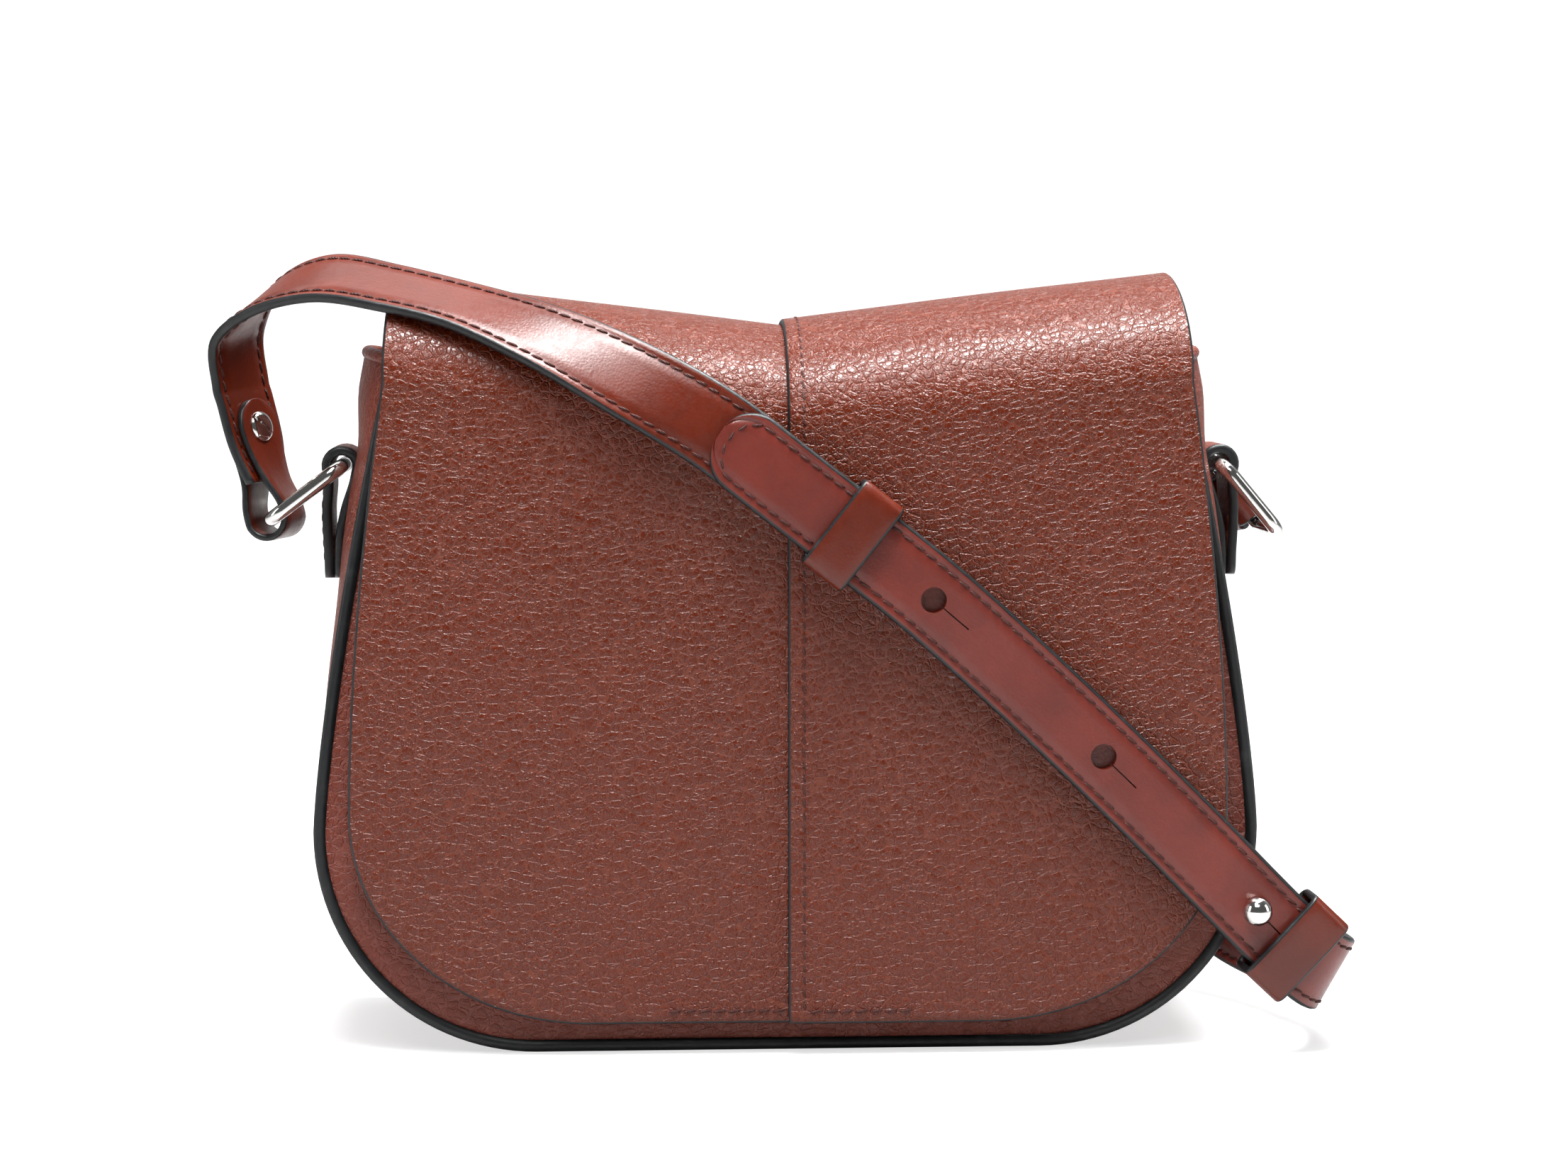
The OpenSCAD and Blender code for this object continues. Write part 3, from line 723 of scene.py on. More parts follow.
def flap_bottom_z(x):
    """Height of the flap's free edge at x: straight in the middle, elliptical corners."""
    a, b = FLAP_CORNER
    over = min(1.0, max(0.0, (abs(x) - (FLAP_W / 2 - a)) / a))
    return FLAP_LOW + b * (1 - math.sqrt(1 - over * over))


def flap_profile(x, inset, rows_front, rows_back):
    """Rows of (y, z, ty, tz) on the flap at x, from the free edge over the fold to the margin."""
    rise = abs(x) * math.tan(FLAP_TILT)
    z_fold = FOLD_W / math.cos(FLAP_TILT) + rise
    rows = []
    foot = flap_bottom_z(x)
    for f in np.linspace(0, 1, rows_front + 1)[:-1]:
        z = foot + (z_fold - foot) * f
        w = (z - rise) * math.cos(FLAP_TILT)
        y = -FOOT_Y + (FOOT_Y + FOLD_Y - FOLD_A) * w / FOLD_W
        rows.append((y + inset, z, 0.02, 1.0))
    for a in np.radians(np.linspace(180, 0, FOLD_ROWS + 1)):
        y = FOLD_Y + (FOLD_A - inset) * math.cos(a)
        z = z_fold + (FOLD_B - inset) * math.sin(a)
        rows.append((y, z, FOLD_A * math.sin(a), -FOLD_B * math.cos(a)))
    crease = FOLD_Y + FOLD_A
    for f in np.linspace(0, 1, rows_back + 1)[1:]:
        z = z_fold + (MARGIN_LOW - z_fold) * f
        y = crease - (crease - MARGIN_Y + 1.9) * smooth(0.2, 1, f)
        rows.append((y - inset, z, -0.04, -1.0))
    return rows


def flap_grid(xs, inset, shrink=0.0, rows_front=100, rows_back=26):
    """Grid of outer points and normals of a flap layer over base positions xs."""
    points, normals = [], []
    for x in xs:
        rise = math.copysign(math.tan(FLAP_TILT), x) if x else 0.0
        column, column_n = [], []
        profile = flap_profile(x, inset, rows_front, rows_back)
        for k, (y, z, ty, tz) in enumerate(profile):
            front = k < rows_front
            if front:
                wide = flap_side(z) / (FLAP_W / 2)
            else:
                wide = FLAP_BACK_X / (FLAP_W / 2)
                here = flap_side(profile[rows_front][1]) / (FLAP_W / 2)
                wide += (here - wide) * (1 - smooth(0, 18, k - rows_front))
            if k > len(profile) - 8:
                corner = (k - (len(profile) - 8)) / 7
                wide *= 1 - 0.05 * (1 - math.sqrt(1 - corner ** 2)) * smooth(0.8, 1, abs(x) / 99)
            n = unit((-rise * ty, -tz, ty))
            sway = wander(x, z) * (1 if front else 0.6)
            pull = shrink * smooth(0.2, 1, abs(x) / (FLAP_W / 2))
            px = x * wide - math.copysign(pull, x) if x else 0.0
            lift = shrink * (1 - smooth(0, 12, k))
            column.append(np.array((px, y, z + lift)) + n * min(0, sway - 0.3))
            column_n.append(n)
        points.append(column)
        normals.append(column_n)
    return np.array(points), np.array(normals)


def flap_stations(side):
    """Base positions from the seam to the flap's edge, closer together round the corner."""
    flat = FLAP_W / 2 - FLAP_CORNER[0]
    inner = [side * v for v in np.linspace(0, flat, 26)]
    outer = [side * (flat + FLAP_CORNER[0] * math.sin(a))
             for a in np.radians(np.linspace(0, 88.5, 46)[1:])]
    return inner + outer + [side * FLAP_W / 2]


def flap_piece(name, xs, inset, thick, leather, nodes, shrink=0.0):
    mesh = Mesh()
    points, normals = flap_grid(xs, inset, shrink)
    sheet(mesh, points, normals, thick)
    piece = mesh.build(name, [leather, EDGE])
    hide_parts(*nodes)
    bend_at_crease(piece)


def bend_at_crease(piece):
    """Bakes the piece's placement into its mesh."""
    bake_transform(piece)


def flap_leathers():
    """The two leathers and the lining under them. The left leather runs on under the right one."""
    left, right = flap_stations(-1)[::-1], flap_stations(1)[1:]
    flap_piece("flap_left_leather", left + [3.0, 6.0, 9.0], 0.0, FLAP_T, FLAP_LEATHER,
               ["flap_left_panel"])
    flap_piece("flap_right_leather", [0.0] + right, -FLAP_RAISE, FLAP_T - 0.05, FLAP_LEATHER,
               ["flap_right_panel", "flap_margin"])
    flap_piece("flap_suede_lining", left + right, FLAP_T + 0.8, 0.7, SUEDE,
               ["flap_lining"], shrink=0.6)


def flap_front_place(x, z, out):
    """A point out from the flap's front surface, and its normal."""
    rise = abs(x) * math.tan(FLAP_TILT)
    w = (z - rise) * math.cos(FLAP_TILT)
    y = -FOOT_Y + (FOOT_Y + FOLD_Y - FOLD_A) * w / FOLD_W
    n = unit((math.copysign(math.tan(FLAP_TILT), x) * -0.02, -1, 0.02))
    return np.array((x, y, z)) + n * (out + min(0, wander(x, z) - 0.3)), n


SEAM_STITCH_X = 3.4
SEAM_PITCH = 3.2
HEM_STITCH_Z = 2.6
HEM_HALF = 31.0
HEM_PITCH = 3.9


def seam_stitches():
    """One row beside the raised edge of the right leather, over the fold and down the back."""
    mesh = Mesh()
    profile = flap_profile(SEAM_STITCH_X, -FLAP_RAISE, 60, 12)
    rows = []
    for k, (y, z, ty, tz) in enumerate(profile[1:-1]):
        n = unit((0, -tz, ty))
        sway = wander(SEAM_STITCH_X, z) * (1 if k < 60 else 0.6)
        rows.append((np.array((SEAM_STITCH_X, y, z)) + n * min(0, sway - 0.3), n))
    stitch_line(mesh, rows, SEAM_PITCH)
    piece = mesh.build("flap_seam_stitches", [THREAD])
    bend_at_crease(piece)


def hem_stitches():
    """Two short rows that hold the snap's patch, near the free edge on each side of the seam."""
    mesh = Mesh()
    z = FLAP_LOW + HEM_STITCH_Z
    for x0, x1, out in ((-HEM_HALF, -1.0, 0.2), (4.5, HEM_HALF, FLAP_RAISE + 0.2)):
        stitch_line(mesh, [flap_front_place(x, z, out) for x in np.linspace(x0, x1, 16)],
                    HEM_PITCH)
    finished(mesh.build("flap_hem_stitches", [THREAD]), "flap", "pebbled_leather")


# ---- body
def front_y(z):
    return FRONT_Y + FRONT_LEAN * z / BODY_H


def rear_y(z):
    return REAR_Y - REAR_LEAN * z / BODY_H


def body_side(z):
    up = max(0.0, z - CORNER_R) / (TAPER_TOP_Z - CORNER_R)
    return BODY_W / 2 - BODY_TAPER * up ** TAPER_CURVE


def body_foot(x, inset):
    """Height of the panel's lower edge at x."""
    over = abs(x) - (BODY_W / 2 - CORNER_R)
    r = CORNER_R - inset
    return CORNER_R - r if over <= 0 else CORNER_R - math.sqrt(max(0.0, r * r - over * over))


def panel_stations(inset):
    flat = BODY_W / 2 - CORNER_R
    inner = list(np.linspace(0, flat, 20))
    outer = [flat + (CORNER_R - inset) * math.sin(a)
             for a in np.radians(np.linspace(0, 90, 34)[1:])]
    right = inner + outer
    return [-x for x in reversed(right[1:])] + right


def body_panel(name, side, node):
    """Front (side -1) or rear (side 1) leather, laid inside the welt and slightly uneven."""
    inset = WELT_W + 0.1
    widest = BODY_W / 2 - inset
    points, normals = [], []
    for x in panel_stations(inset):
        column = []
        foot = body_foot(x, inset)
        for z in np.linspace(foot, high(node)[2], 64):
            px = x * (body_side(z) - inset) / widest
            y = front_y(z) if side < 0 else rear_y(z)
            y += side * 0.15 * math.sin(px / 17 + z / 23)
            column.append((px, y, z))
        points.append(column)
        normals.append([unit((0, side, 0.04)) for _ in column])
    mesh = Mesh()
    sheet(mesh, np.array(points), np.array(normals), LEATHER_T)
    finished(mesh.build(name, [BODY_LEATHER, EDGE]), "bag", "pebbled_leather", node)


def outline(inset, top, arc_step=3.0):
    """The body's U outline from the top left corner round the base: points and outward normals."""
    corner_x = BODY_W / 2 - CORNER_R
    right = [(body_side(z) - inset, z) for z in np.linspace(top, CORNER_R, 42)]
    right += [(corner_x + (CORNER_R - inset) * math.cos(a),
               CORNER_R + (CORNER_R - inset) * math.sin(a))
              for a in np.radians(np.arange(-arc_step, -90.01, -arc_step))]
    right += [(x, inset) for x in np.linspace(corner_x, 0, 18)[1:]]
    left = [(-x, z) for x, z in reversed(right[:-1])]
    line = np.array(right + left)
    t = np.gradient(line, axis=0)
    normals = np.stack([-t[:, 1], t[:, 0]], 1)
    normals /= np.linalg.norm(normals, axis=1)[:, None]
    if normals[0][0] < 0:
        normals = -normals
    return line, normals


GUSSET_BULGE = 4.2
GUSSET_FLARE = 3.4
HEM_R = 1.7
HEM_UP = (0.31, 0.17, 0.93)
GUSSET_ABOVE = 3.0


def gusset_bulge(z):
    """How far the side of the bag swells out between its two seams."""
    flare = GUSSET_FLARE * float(smooth(148, 168, z))
    return 0.5 + (GUSSET_BULGE - 0.5) * float(smooth(60, 150, z)) + flare if z > 8 else 0.0


def gusset_point(x, z, nx, nz, f):
    """A point across the gusset: f runs from -1 at the front seam to 1 at the rear seam."""
    gap = WELT_DEEP - WELT_PROUD + 0.1
    y = (front_y(z) + gap) * (1 - f) / 2 + (rear_y(z) - gap) * (1 + f) / 2
    swell = gusset_bulge(z) * (1 - abs(f) ** 2.6)
    pinch = 0.35 * math.exp(-((abs(f) - 0.93) / 0.05) ** 2)
    ripple = 0.25 * math.sin(z / 9 + 3 * f) * float(smooth(50, 110, z)) * (1 - f * f)
    push = swell - pinch + ripple
    return np.array((x + nx * push, y, z + nz * push))


def gusset_shell():
    line, normals = outline(0.0, BODY_H + GUSSET_ABOVE)
    across = np.linspace(-1, 1, 33)
    points, out = [], []
    for (x, z), (nx, nz) in zip(line, normals):
        points.append([gusset_point(x, z, nx, nz, f) for f in across])
        out.append([(nx, 0, nz)] * len(across))
    points, out = np.array(points), np.array(out)
    mesh = Mesh()
    sheet(mesh, points, out, LEATHER_T)
    for end in (0, -1):
        hem(mesh, points[end], out[end])
    finished(mesh.build("gusset_leather", [BODY_LEATHER, EDGE]), "bag", "pebbled_leather",
             "gusset")


def hem(mesh, row, out):
    """Rolled hem along the gusset's open top edge."""
    centre = (row - out * LEATHER_T / 2 + np.array((0, 0, 0.2)))[1:-1]
    across = unit(np.cross(unit(centre[-1] - centre[0]), HEM_UP))
    skin(mesh, wire(Path(centre, across), HEM_R, 14))


def welt(name, side, node):
    """Painted edge of the two leathers sewn together round a panel, with their glue line."""
    line, normals = outline(WELT_W / 2, BODY_H)
    points, widths = [], []
    for (x, z) in line:
        y = front_y(z) if side < 0 else rear_y(z)
        points.append((x, y - side * (WELT_DEEP / 2 - WELT_PROUD), z))
        widths.append((0, 1, 0))
    path = Path(points, widths)
    outward = 1 if np.dot(path.n[0], (normals[0][0], 0, normals[0][1])) > 0 else -1
    q, h = WELT_W / 2, WELT_DEEP / 2
    shape = [(-h + 0.9, q), (-0.25, q), (0, q - 0.45), (0.25, q), (h - 0.9, q), (h - 0.25, q - 0.3),
             (h, q - 1.0), (h, -q), (-h, -q), (-h, q - 1.0), (-h + 0.25, q - 0.3)]
    mesh = Mesh()
    skin(mesh, [[p + w * a + n * outward * b for a, b in shape]
                for p, w, n in zip(path.p, path.w, path.n)])
    finished(mesh.build(name, [EDGE]), "bag", "painted_edge", node)


CLOTH_T = 0.7
LINING_IN = 4.6
WALL_COLUMNS = 25
PANEL_ROWS = 40


def bag_lining():
    """The cloth bag inside: front, back and U-shaped wall drawn as one soft shell."""
    mesh = Mesh()
    top = BODY_H - 2
    inset = LINING_IN
    line, normals = outline(inset, top)
    rows, out = [], []
    for (x, z), (nx, nz) in zip(line, normals):
        row = []
        for f in np.linspace(-1, 1, WALL_COLUMNS):
            y = (front_y(z) + 3.5) * (1 - f) / 2 + (rear_y(z) - 3.5) * (1 + f) / 2
            fold = 0.5 * math.sin(z / 11 + 2.2 * f) * (1 - f * f)
            row.append((x + nx * fold, y, z + nz * fold))
        rows.append(row)
        out.append([(nx, 0, nz)] * WALL_COLUMNS)
    sheet(mesh, np.array(rows), np.array(out), CLOTH_T, 0)
    for side in (-1, 1):
        points, away = [], []
        for x in panel_stations(inset):
            column = []
            for z in np.linspace(body_foot(x, inset), top if side < 0 else top - 9, PANEL_ROWS):
                y = front_y(z) + 3.3 if side < 0 else rear_y(z) - 3.3
                y -= side * (0.5 + 0.4 * math.sin(x / 13 + z / 29) + 0.3 * math.sin(z / 9 - x / 40))
                column.append((x * (body_side(z) - inset) / (BODY_W / 2 - inset), y, z))
            points.append(column)
            away.append([(0, side, 0)] * PANEL_ROWS)
        sheet(mesh, np.array(points), np.array(away), CLOTH_T, 0)
    finished(mesh.build("cloth_lining", [CLOTH]), "bag", "lining_cloth", "lining")


CHAPE_T = 2.5
CHAPE_HALF = 8.6
CHAPE_LEG = 29.0
CHAPE_TURN_R = 3.95
CHAPE_STITCH_IN = 2.8


def chape(name, loop, side, node):
    """Leather strip folded over the ring's bar, its two legs sewn down to the gusset."""
    inner = [(1.0, -CHAPE_LEG), (0.9, -CHAPE_LEG + 6), (0.6, -18), (-0.9, -11), (-2.9, -5)]
    turn = arc((0, 0), CHAPE_TURN_R, 200, -20, 18)
    outer = [(3.4, -5), (3.9, -11), (3.75, -18), (3.5, -CHAPE_LEG + 6), (3.4, -CHAPE_LEG)]
    points = [(loop[0] + side * x, loop[1], loop[2] + z) for x, z in inner + turn + outer]
    path = spline_path(points, [(0, 1, 0)] * len(points), 0, len(points) - 1, 5)
    mesh, seam = Mesh(), Mesh()
    stations, halves = tipped(0, path.length, CHAPE_HALF, 2.5, 2.5, 1.0)
    band(mesh, path, stations, halves, CHAPE_T)
    finished(mesh.build(name, [BODY_LEATHER, EDGE]), "bag", "pebbled_leather", node)
    outside = 1 if np.dot(path.at(path.length - 8)[3], (side, 0, 0)) > 0 else -1
    foot, reach = path.length - 4, CHAPE_HALF - CHAPE_STITCH_IN
    for row in (straight_row(foot - 20, foot, -reach), straight_row(foot - 20, foot, reach),
                [(foot, x) for x in np.linspace(-4.5, 4.5, 5)]):
        band_stitches(seam, path, row, 3.4, outside * (CHAPE_T / 2 + 0.05))
    finished(seam.build(name + "_stitches", [THREAD]), "bag", "pebbled_leather")


# ---- rings, screws, stud
WIRE_R = 1.85
RING_HALF = high("left_ring")[1] - WIRE_R
RING_LEN = float(np.linalg.norm(LEFT_BAR - LEFT_LOOP))
RING_CORNER = 4.2


def ring(name, loop, along, body):
    """Rounded rectangle of bent wire with its butted joint in the inner bar."""
    along = unit(along)
    across = np.array((0, 1, 0))
    flat = rounded_box(0, RING_LEN, -RING_HALF, RING_HALF, RING_CORNER, 14)
    points = [loop + along * u + across * v for u, v in flat]
    mesh = Mesh()
    path = Path(points, np.cross(along, across), closed=True)
    skin(mesh, wire(path, WIRE_R, 24), closed=True)
    collar = [(WIRE_R * 0.9, -0.28), (WIRE_R + 0.06, -0.22), (WIRE_R + 0.02, 0),
              (WIRE_R + 0.06, 0.22), (WIRE_R * 0.9, 0.28)]
    lathe(mesh, collar, loop + across * 3, across, 24)
    finished(mesh.build(name, [NICKEL]), body, "nickel", body)


SCREW_HEAD = [(0.01, 1.25), (1.2, 1.24), (2.6, 1.12), (3.4, 0.85), (3.9, 0.4), (4.0, 0.1),
              (4.0, 0.0), (2.0, 0.0), (2.0, -1.9), (0.01, -1.9)]


def screw_head(name, centre, axis, body, node, slot_turn=None):
    """Low domed screw head, with a slot cut across it at slot_turn if that is given."""
    mesh = Mesh()
    lathe(mesh, SCREW_HEAD, centre, axis, 56)
    piece = mesh.build(name, [NICKEL])
    if slot_turn is not None:
        cut_slot(piece, centre, axis, slot_turn)
    finished(piece, body, "nickel", node)


SCREW_SLOT_W = 0.84


def box_tool(centre, axes, spans):
    """A box with a (from, to) span along each of three axes, to be cut out of a piece."""
    (a0, a1), (b0, b1), (c0, c1) = spans
    u, v, n = axes
    tool = Mesh()
    tool.add([centre + u * a + v * b + n * c for c in (c0, c1)
              for a, b in ((a0, b0), (a1, b0), (a1, b1), (a0, b1))],
             [(3, 2, 1, 0), (4, 5, 6, 7), (0, 1, 5, 4), (1, 2, 6, 5), (2, 3, 7, 6), (3, 0, 4, 7)])
    return tool.build("box_tool", [])


def cut_slot(piece, centre, axis, turn):
    axis = unit(axis)
    x = unit(np.cross(axis, (0.2, 0.9, 0.3)))
    y = np.cross(axis, x)
    along = x * math.cos(turn) + y * math.sin(turn)
    side = np.cross(axis, along)
    half = SCREW_SLOT_W / 2
    apply_boolean(piece, box_tool(centre + axis * 1.1, (along, side, axis),
                                  ((-4.6, 4.6), (-half, half), (-0.55, 1))))


def apply_boolean(piece, tool):
    """Cuts the tool out of the piece and removes the tool."""
    modifier = piece.modifiers.new("cut", "BOOLEAN")
    modifier.object = tool
    modifier.operation = "DIFFERENCE"
    modifier.solver = "EXACT"
    bpy.context.view_layer.update()
    evaluated = piece.evaluated_get(bpy.context.evaluated_depsgraph_get())
    data = bpy.data.meshes.new_from_object(evaluated)
    data.set_sharp_from_angle(angle=math.radians(50))
    piece.modifiers.clear()
    piece.data = data
    bpy.data.objects.remove(tool)


# ---- tabs
def tab_frame(origin, x, y, z, twist=0.0):
    """Turns (x, y, z) in the tab's own axes into the row frame. The twist grows to its tip."""
    axes = np.array([unit(x), unit(y), unit(z)])

    def place(p):
        turn = twist * float(smooth(4, SCREW_AT, p[2]))
        c, s = math.cos(turn), math.sin(turn)
        return origin + np.array((p[0] * c + p[1] * s, p[1] * c - p[0] * s, p[2])) @ axes
    return place


def tab(name, place, fold_r, body, node):
    """Leather strip folded round a ring's bar; both legs end round and hold the strap."""
    gap = STRAP_T / 2 + 0.1 + TAB_T / 2
    r = fold_r + TAB_T / 2
    end = TAB_LEN
    down = [(gap, end), (gap, end - 5), (gap, end - 10), (gap + 0.15, 15), (gap + 0.9, 9),
            (r - 0.25, 3.5)]
    turn = arc((0, 0), r, -8, -172, 12)
    up = [(-x, z) for x, z in reversed(down)]
    keys = down + turn + up
    points = [place((x, 0, z)) for x, z in keys]
    widths = [place((x, 1, z)) - p for (x, z), p in zip(keys, points)]
    path = spline_path(points, widths, 0, len(points) - 1, 6)
    mesh = Mesh()
    tip = TAB_W / 2 - 0.2
    stations, halves = tipped(0, path.length, TAB_W / 2, tip, tip, 0.9)
    band(mesh, path, stations, halves, TAB_T - 0.1)
    finished(mesh.build(name, [STRAP_LEATHER, EDGE]), body, "strap_leather", node)


# The left tab leans outwards and turns towards the front; the right one lies back along the bag
# and hangs from its ring by RIGHT_PULL. Each has an X axis through its screw and a Z axis along it.
LEFT_YAW = math.radians(14.5)
LEFT_LEAN = math.radians(14.5)
LEFT_X = np.array((math.cos(LEFT_LEAN) * math.cos(LEFT_YAW),
                   -math.cos(LEFT_LEAN) * math.sin(LEFT_YAW), math.sin(LEFT_LEAN)))
LEFT_Y = np.array((math.sin(LEFT_YAW), math.cos(LEFT_YAW), 0))
LEFT_Z = np.cross(LEFT_X, LEFT_Y)
LEFT_TWIST = math.radians(19)
RIGHT_ANGLE = math.radians(50)
RIGHT_PULL = math.radians(12)
RIGHT_U = np.array((math.cos(RIGHT_ANGLE), 0, -math.sin(RIGHT_ANGLE)))
RIGHT_D = (math.cos(RIGHT_PULL) * np.array((0, 1, 0))
           + math.sin(RIGHT_PULL) * np.array((-math.sin(RIGHT_ANGLE), 0, -math.cos(RIGHT_ANGLE))))
RIGHT_BAR = RIGHT_LOOP + 12.6 * RIGHT_U + np.array((0, RING_HALF, 0))
RIGHT_X = np.cross(RIGHT_U, RIGHT_D)
STACK = STRAP_T / 2 + 0.1 + TAB_T


def strap_end(side, place, fold_r, out, body, slot_turn):
    """A tab with the two heads of the screw through it, the slotted one on its out side."""
    tab(side + "_tab_leather", place, fold_r, body, side + "_tab")
    axis = out * (place((1, 0, SCREW_AT)) - place((0, 0, SCREW_AT)))
    screw_head(side + "_screw_head", place((out * STACK, 0, SCREW_AT)), axis, body,
               side + "_screw_cap", slot_turn)
    screw_head(side + "_post_head", place((-out * STACK, 0, SCREW_AT)), -axis, body,
               side + "_screw_post")


def strap_ends():
    left = tab_frame(LEFT_BAR, LEFT_X, LEFT_Y, LEFT_Z, LEFT_TWIST)
    right = tab_frame(RIGHT_BAR, RIGHT_X, RIGHT_U, RIGHT_D)
    strap_end("left", left, 4.1, 1, "left_strap_end", 0.5)
    strap_end("right", right, 2.6, -1, "right_ring", 1.1)


# ---- strap
KEEPER_LIFT = 2.4
STRAP_FOOT_Y = -45.3
STRAP_LEAN = 3 / 158


def on_flap(x, z, lift=0.0):
    """A place on the flap's front, with the strap lifted to let the keeper pass under it."""
    return (x, STRAP_FOOT_Y - lift + STRAP_LEAN * z, z)


KEEPER_MOUTH = (131.8, -43.6, 22.8)

# The strap starts inside the left tab, rises, and arches over the flap's corner. Each key place
# has a direction across the strap beside it.
IN_TAB = (9, 20, TAB_LEN, TAB_LEN + 5)
RISE = [tuple(LEFT_BAR + along * LEFT_Z) for along in IN_TAB]
RISE += [(-140.8, 0, 181), (-132, -8, 191), (-117.5, -16.5, 195.5)]
RISE_WIDTHS = [tuple(LEFT_Y * math.cos(a) + LEFT_X * math.sin(a)) for a in
               (LEFT_TWIST * float(smooth(4, SCREW_AT, along)) for along in IN_TAB)]
RISE_WIDTHS += [(0.5, 0.84, 0.14), (0.3, 0.86, 0.38), (0.16, 0.84, 0.5)]

# Down across the flap to the mouth of the fixed keeper, raised where the sliding keeper runs.
SPAN = [(-100, -23.5, 193), (-80, -28.5, 188), (-60, -35.4, 180.5), (-40, -41, 170.5),
        on_flap(-20, 158.9, 1.8), on_flap(-1, 144.5, KEEPER_LIFT), on_flap(15, 132, KEEPER_LIFT),
        on_flap(35, 116, KEEPER_LIFT), on_flap(56.5, 96.7, 0.6), on_flap(78, 76.3),
        on_flap(97.5, 57), on_flap(116.5, 37.6), on_flap(124.5, 29.7), KEEPER_MOUTH]
SPAN_WIDTHS = [(0.1, 0.86, 0.5), (0.2, 0.83, 0.51), (0.3, 0.66, 0.69), (0.45, 0.35, 0.82),
               (0.57, 0.05, 0.82)] + [(0.62, 0, 0.76)] * 8 + [(0.57, 0.06, 0.8)]
RISE_N = len(RISE)
RIGHT_MOUTH = RIGHT_BAR + (TAB_LEN + 1) * RIGHT_D

# From the keeper round the bag's right side, up its back and into the right tab.
TAIL = [on_flap(124.5, 29.7), KEEPER_MOUTH, (136.4, -35.5, 20), (136, -19, 19), (130, 3, 19),
        (123, 21, 20.5), (116, 33, 26), (106, 39, 39), (98, 40.5, 60), (96, 41, 83),
        (100, 42, 104), (107, 45, 120), tuple(RIGHT_MOUTH + np.array((-2.2, 4.2, -2.6))),
        tuple(RIGHT_MOUTH), tuple(RIGHT_MOUTH - 4 * RIGHT_D)]
TAIL_WIDTHS = [(0.62, 0, 0.76), (0.57, 0.06, 0.8), (0.5, 0.05, 0.86), (0.45, 0, 0.9),
               (0.4, 0, 0.92), (0.35, 0, 0.93), (0.4, 0.1, 0.9), (0.8, 0, 0.6), (0.97, 0, 0.25),
               (1, 0, -0.05), (0.93, 0, -0.35), (0.85, 0, -0.5), (0.7, 0, -0.7),
               tuple(RIGHT_U), tuple(RIGHT_U)]

PER_KEY = 14
ARCH = spline_path(RISE + SPAN, RISE_WIDTHS + SPAN_WIDTHS, 0, RISE_N + 13, PER_KEY)
TAIL_PATH = spline_path(TAIL, TAIL_WIDTHS, 0, 14, PER_KEY)
STITCH_IN = 2.7
STITCH_PITCH = 3.6
HOLE_R = 3.25
SLIT = 9.0
SLIT_W = 0.34
STUD_HOLE_R = 2.35
CUT_DEPTH = 3.0
HALF_W = STRAP_W / 2


def key_s(path, station):
    """Arc length at a spline station."""
    return path.s[int(round(station * PER_KEY))]


STUD_S = key_s(ARCH, RISE_N + 11)
HOLES = [(key_s(ARCH, RISE_N + 7), HOLE_R), (key_s(ARCH, RISE_N + 9), HOLE_R),
         (STUD_S, STUD_HOLE_R)]
KEEPER_S = key_s(ARCH, RISE_N + 6)
FIXED_S = key_s(ARCH, RISE_N + 12) + 0.28 * (ARCH.length - key_s(ARCH, RISE_N + 12))
TIP_S = key_s(ARCH, RISE_N + 4) + 0.12 * (key_s(ARCH, RISE_N + 5) - key_s(ARCH, RISE_N + 4))
TIP_R = 9.0


def strap_rows(seam, s0, s1, face):
    for across in (STITCH_IN - HALF_W, HALF_W - STITCH_IN):
        band_stitches(seam, ARCH, straight_row(s0, s1, across), STITCH_PITCH, face)


def bend_strap(items):
    """Bakes the placement of the strap leather and its stitches into their meshes."""
    for item in items:
        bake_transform(item)


def long_strap():
    """The long strap: up from the left tab, over in an arch and down across the flap."""
    mesh, seam = Mesh(), Mesh()
    stations, halves = tipped(0.5, ARCH.length - 0.5, HALF_W, step=1.3)
    band(mesh, ARCH, stations, halves, STRAP_T, (STITCH_IN,))
    strap_rows(seam, 3, ARCH.length - 3, STRAP_T / 2)
    strap_rows(seam, 3, TIP_S + 20, -STRAP_T / 2)
    piece = mesh.build("long_strap", [STRAP_LEATHER, EDGE])
    stitches = seam.build("long_strap_stitches", [THREAD])
    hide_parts("long_strap_rise", "long_strap_span")
    bend_strap((piece, stitches))


def punch(piece, s, radius):
    """Cuts a slit through the adjuster strap, and the round hole it starts from."""
    p, t, w, n = ARCH.at(s, 0, ADJUSTER_OFF)
    spans = (0, SLIT), (-SLIT_W / 2, SLIT_W / 2), (-CUT_DEPTH, CUT_DEPTH)
    apply_boolean(piece, box_tool(p + t * (HOLE_R - 0.8), (t, w, n), spans))
    tool = Mesh()
    lathe(tool, [(radius, -CUT_DEPTH), (radius, CUT_DEPTH)], p, n, 40)
    apply_boolean(piece, tool.build("hole_tool", []))


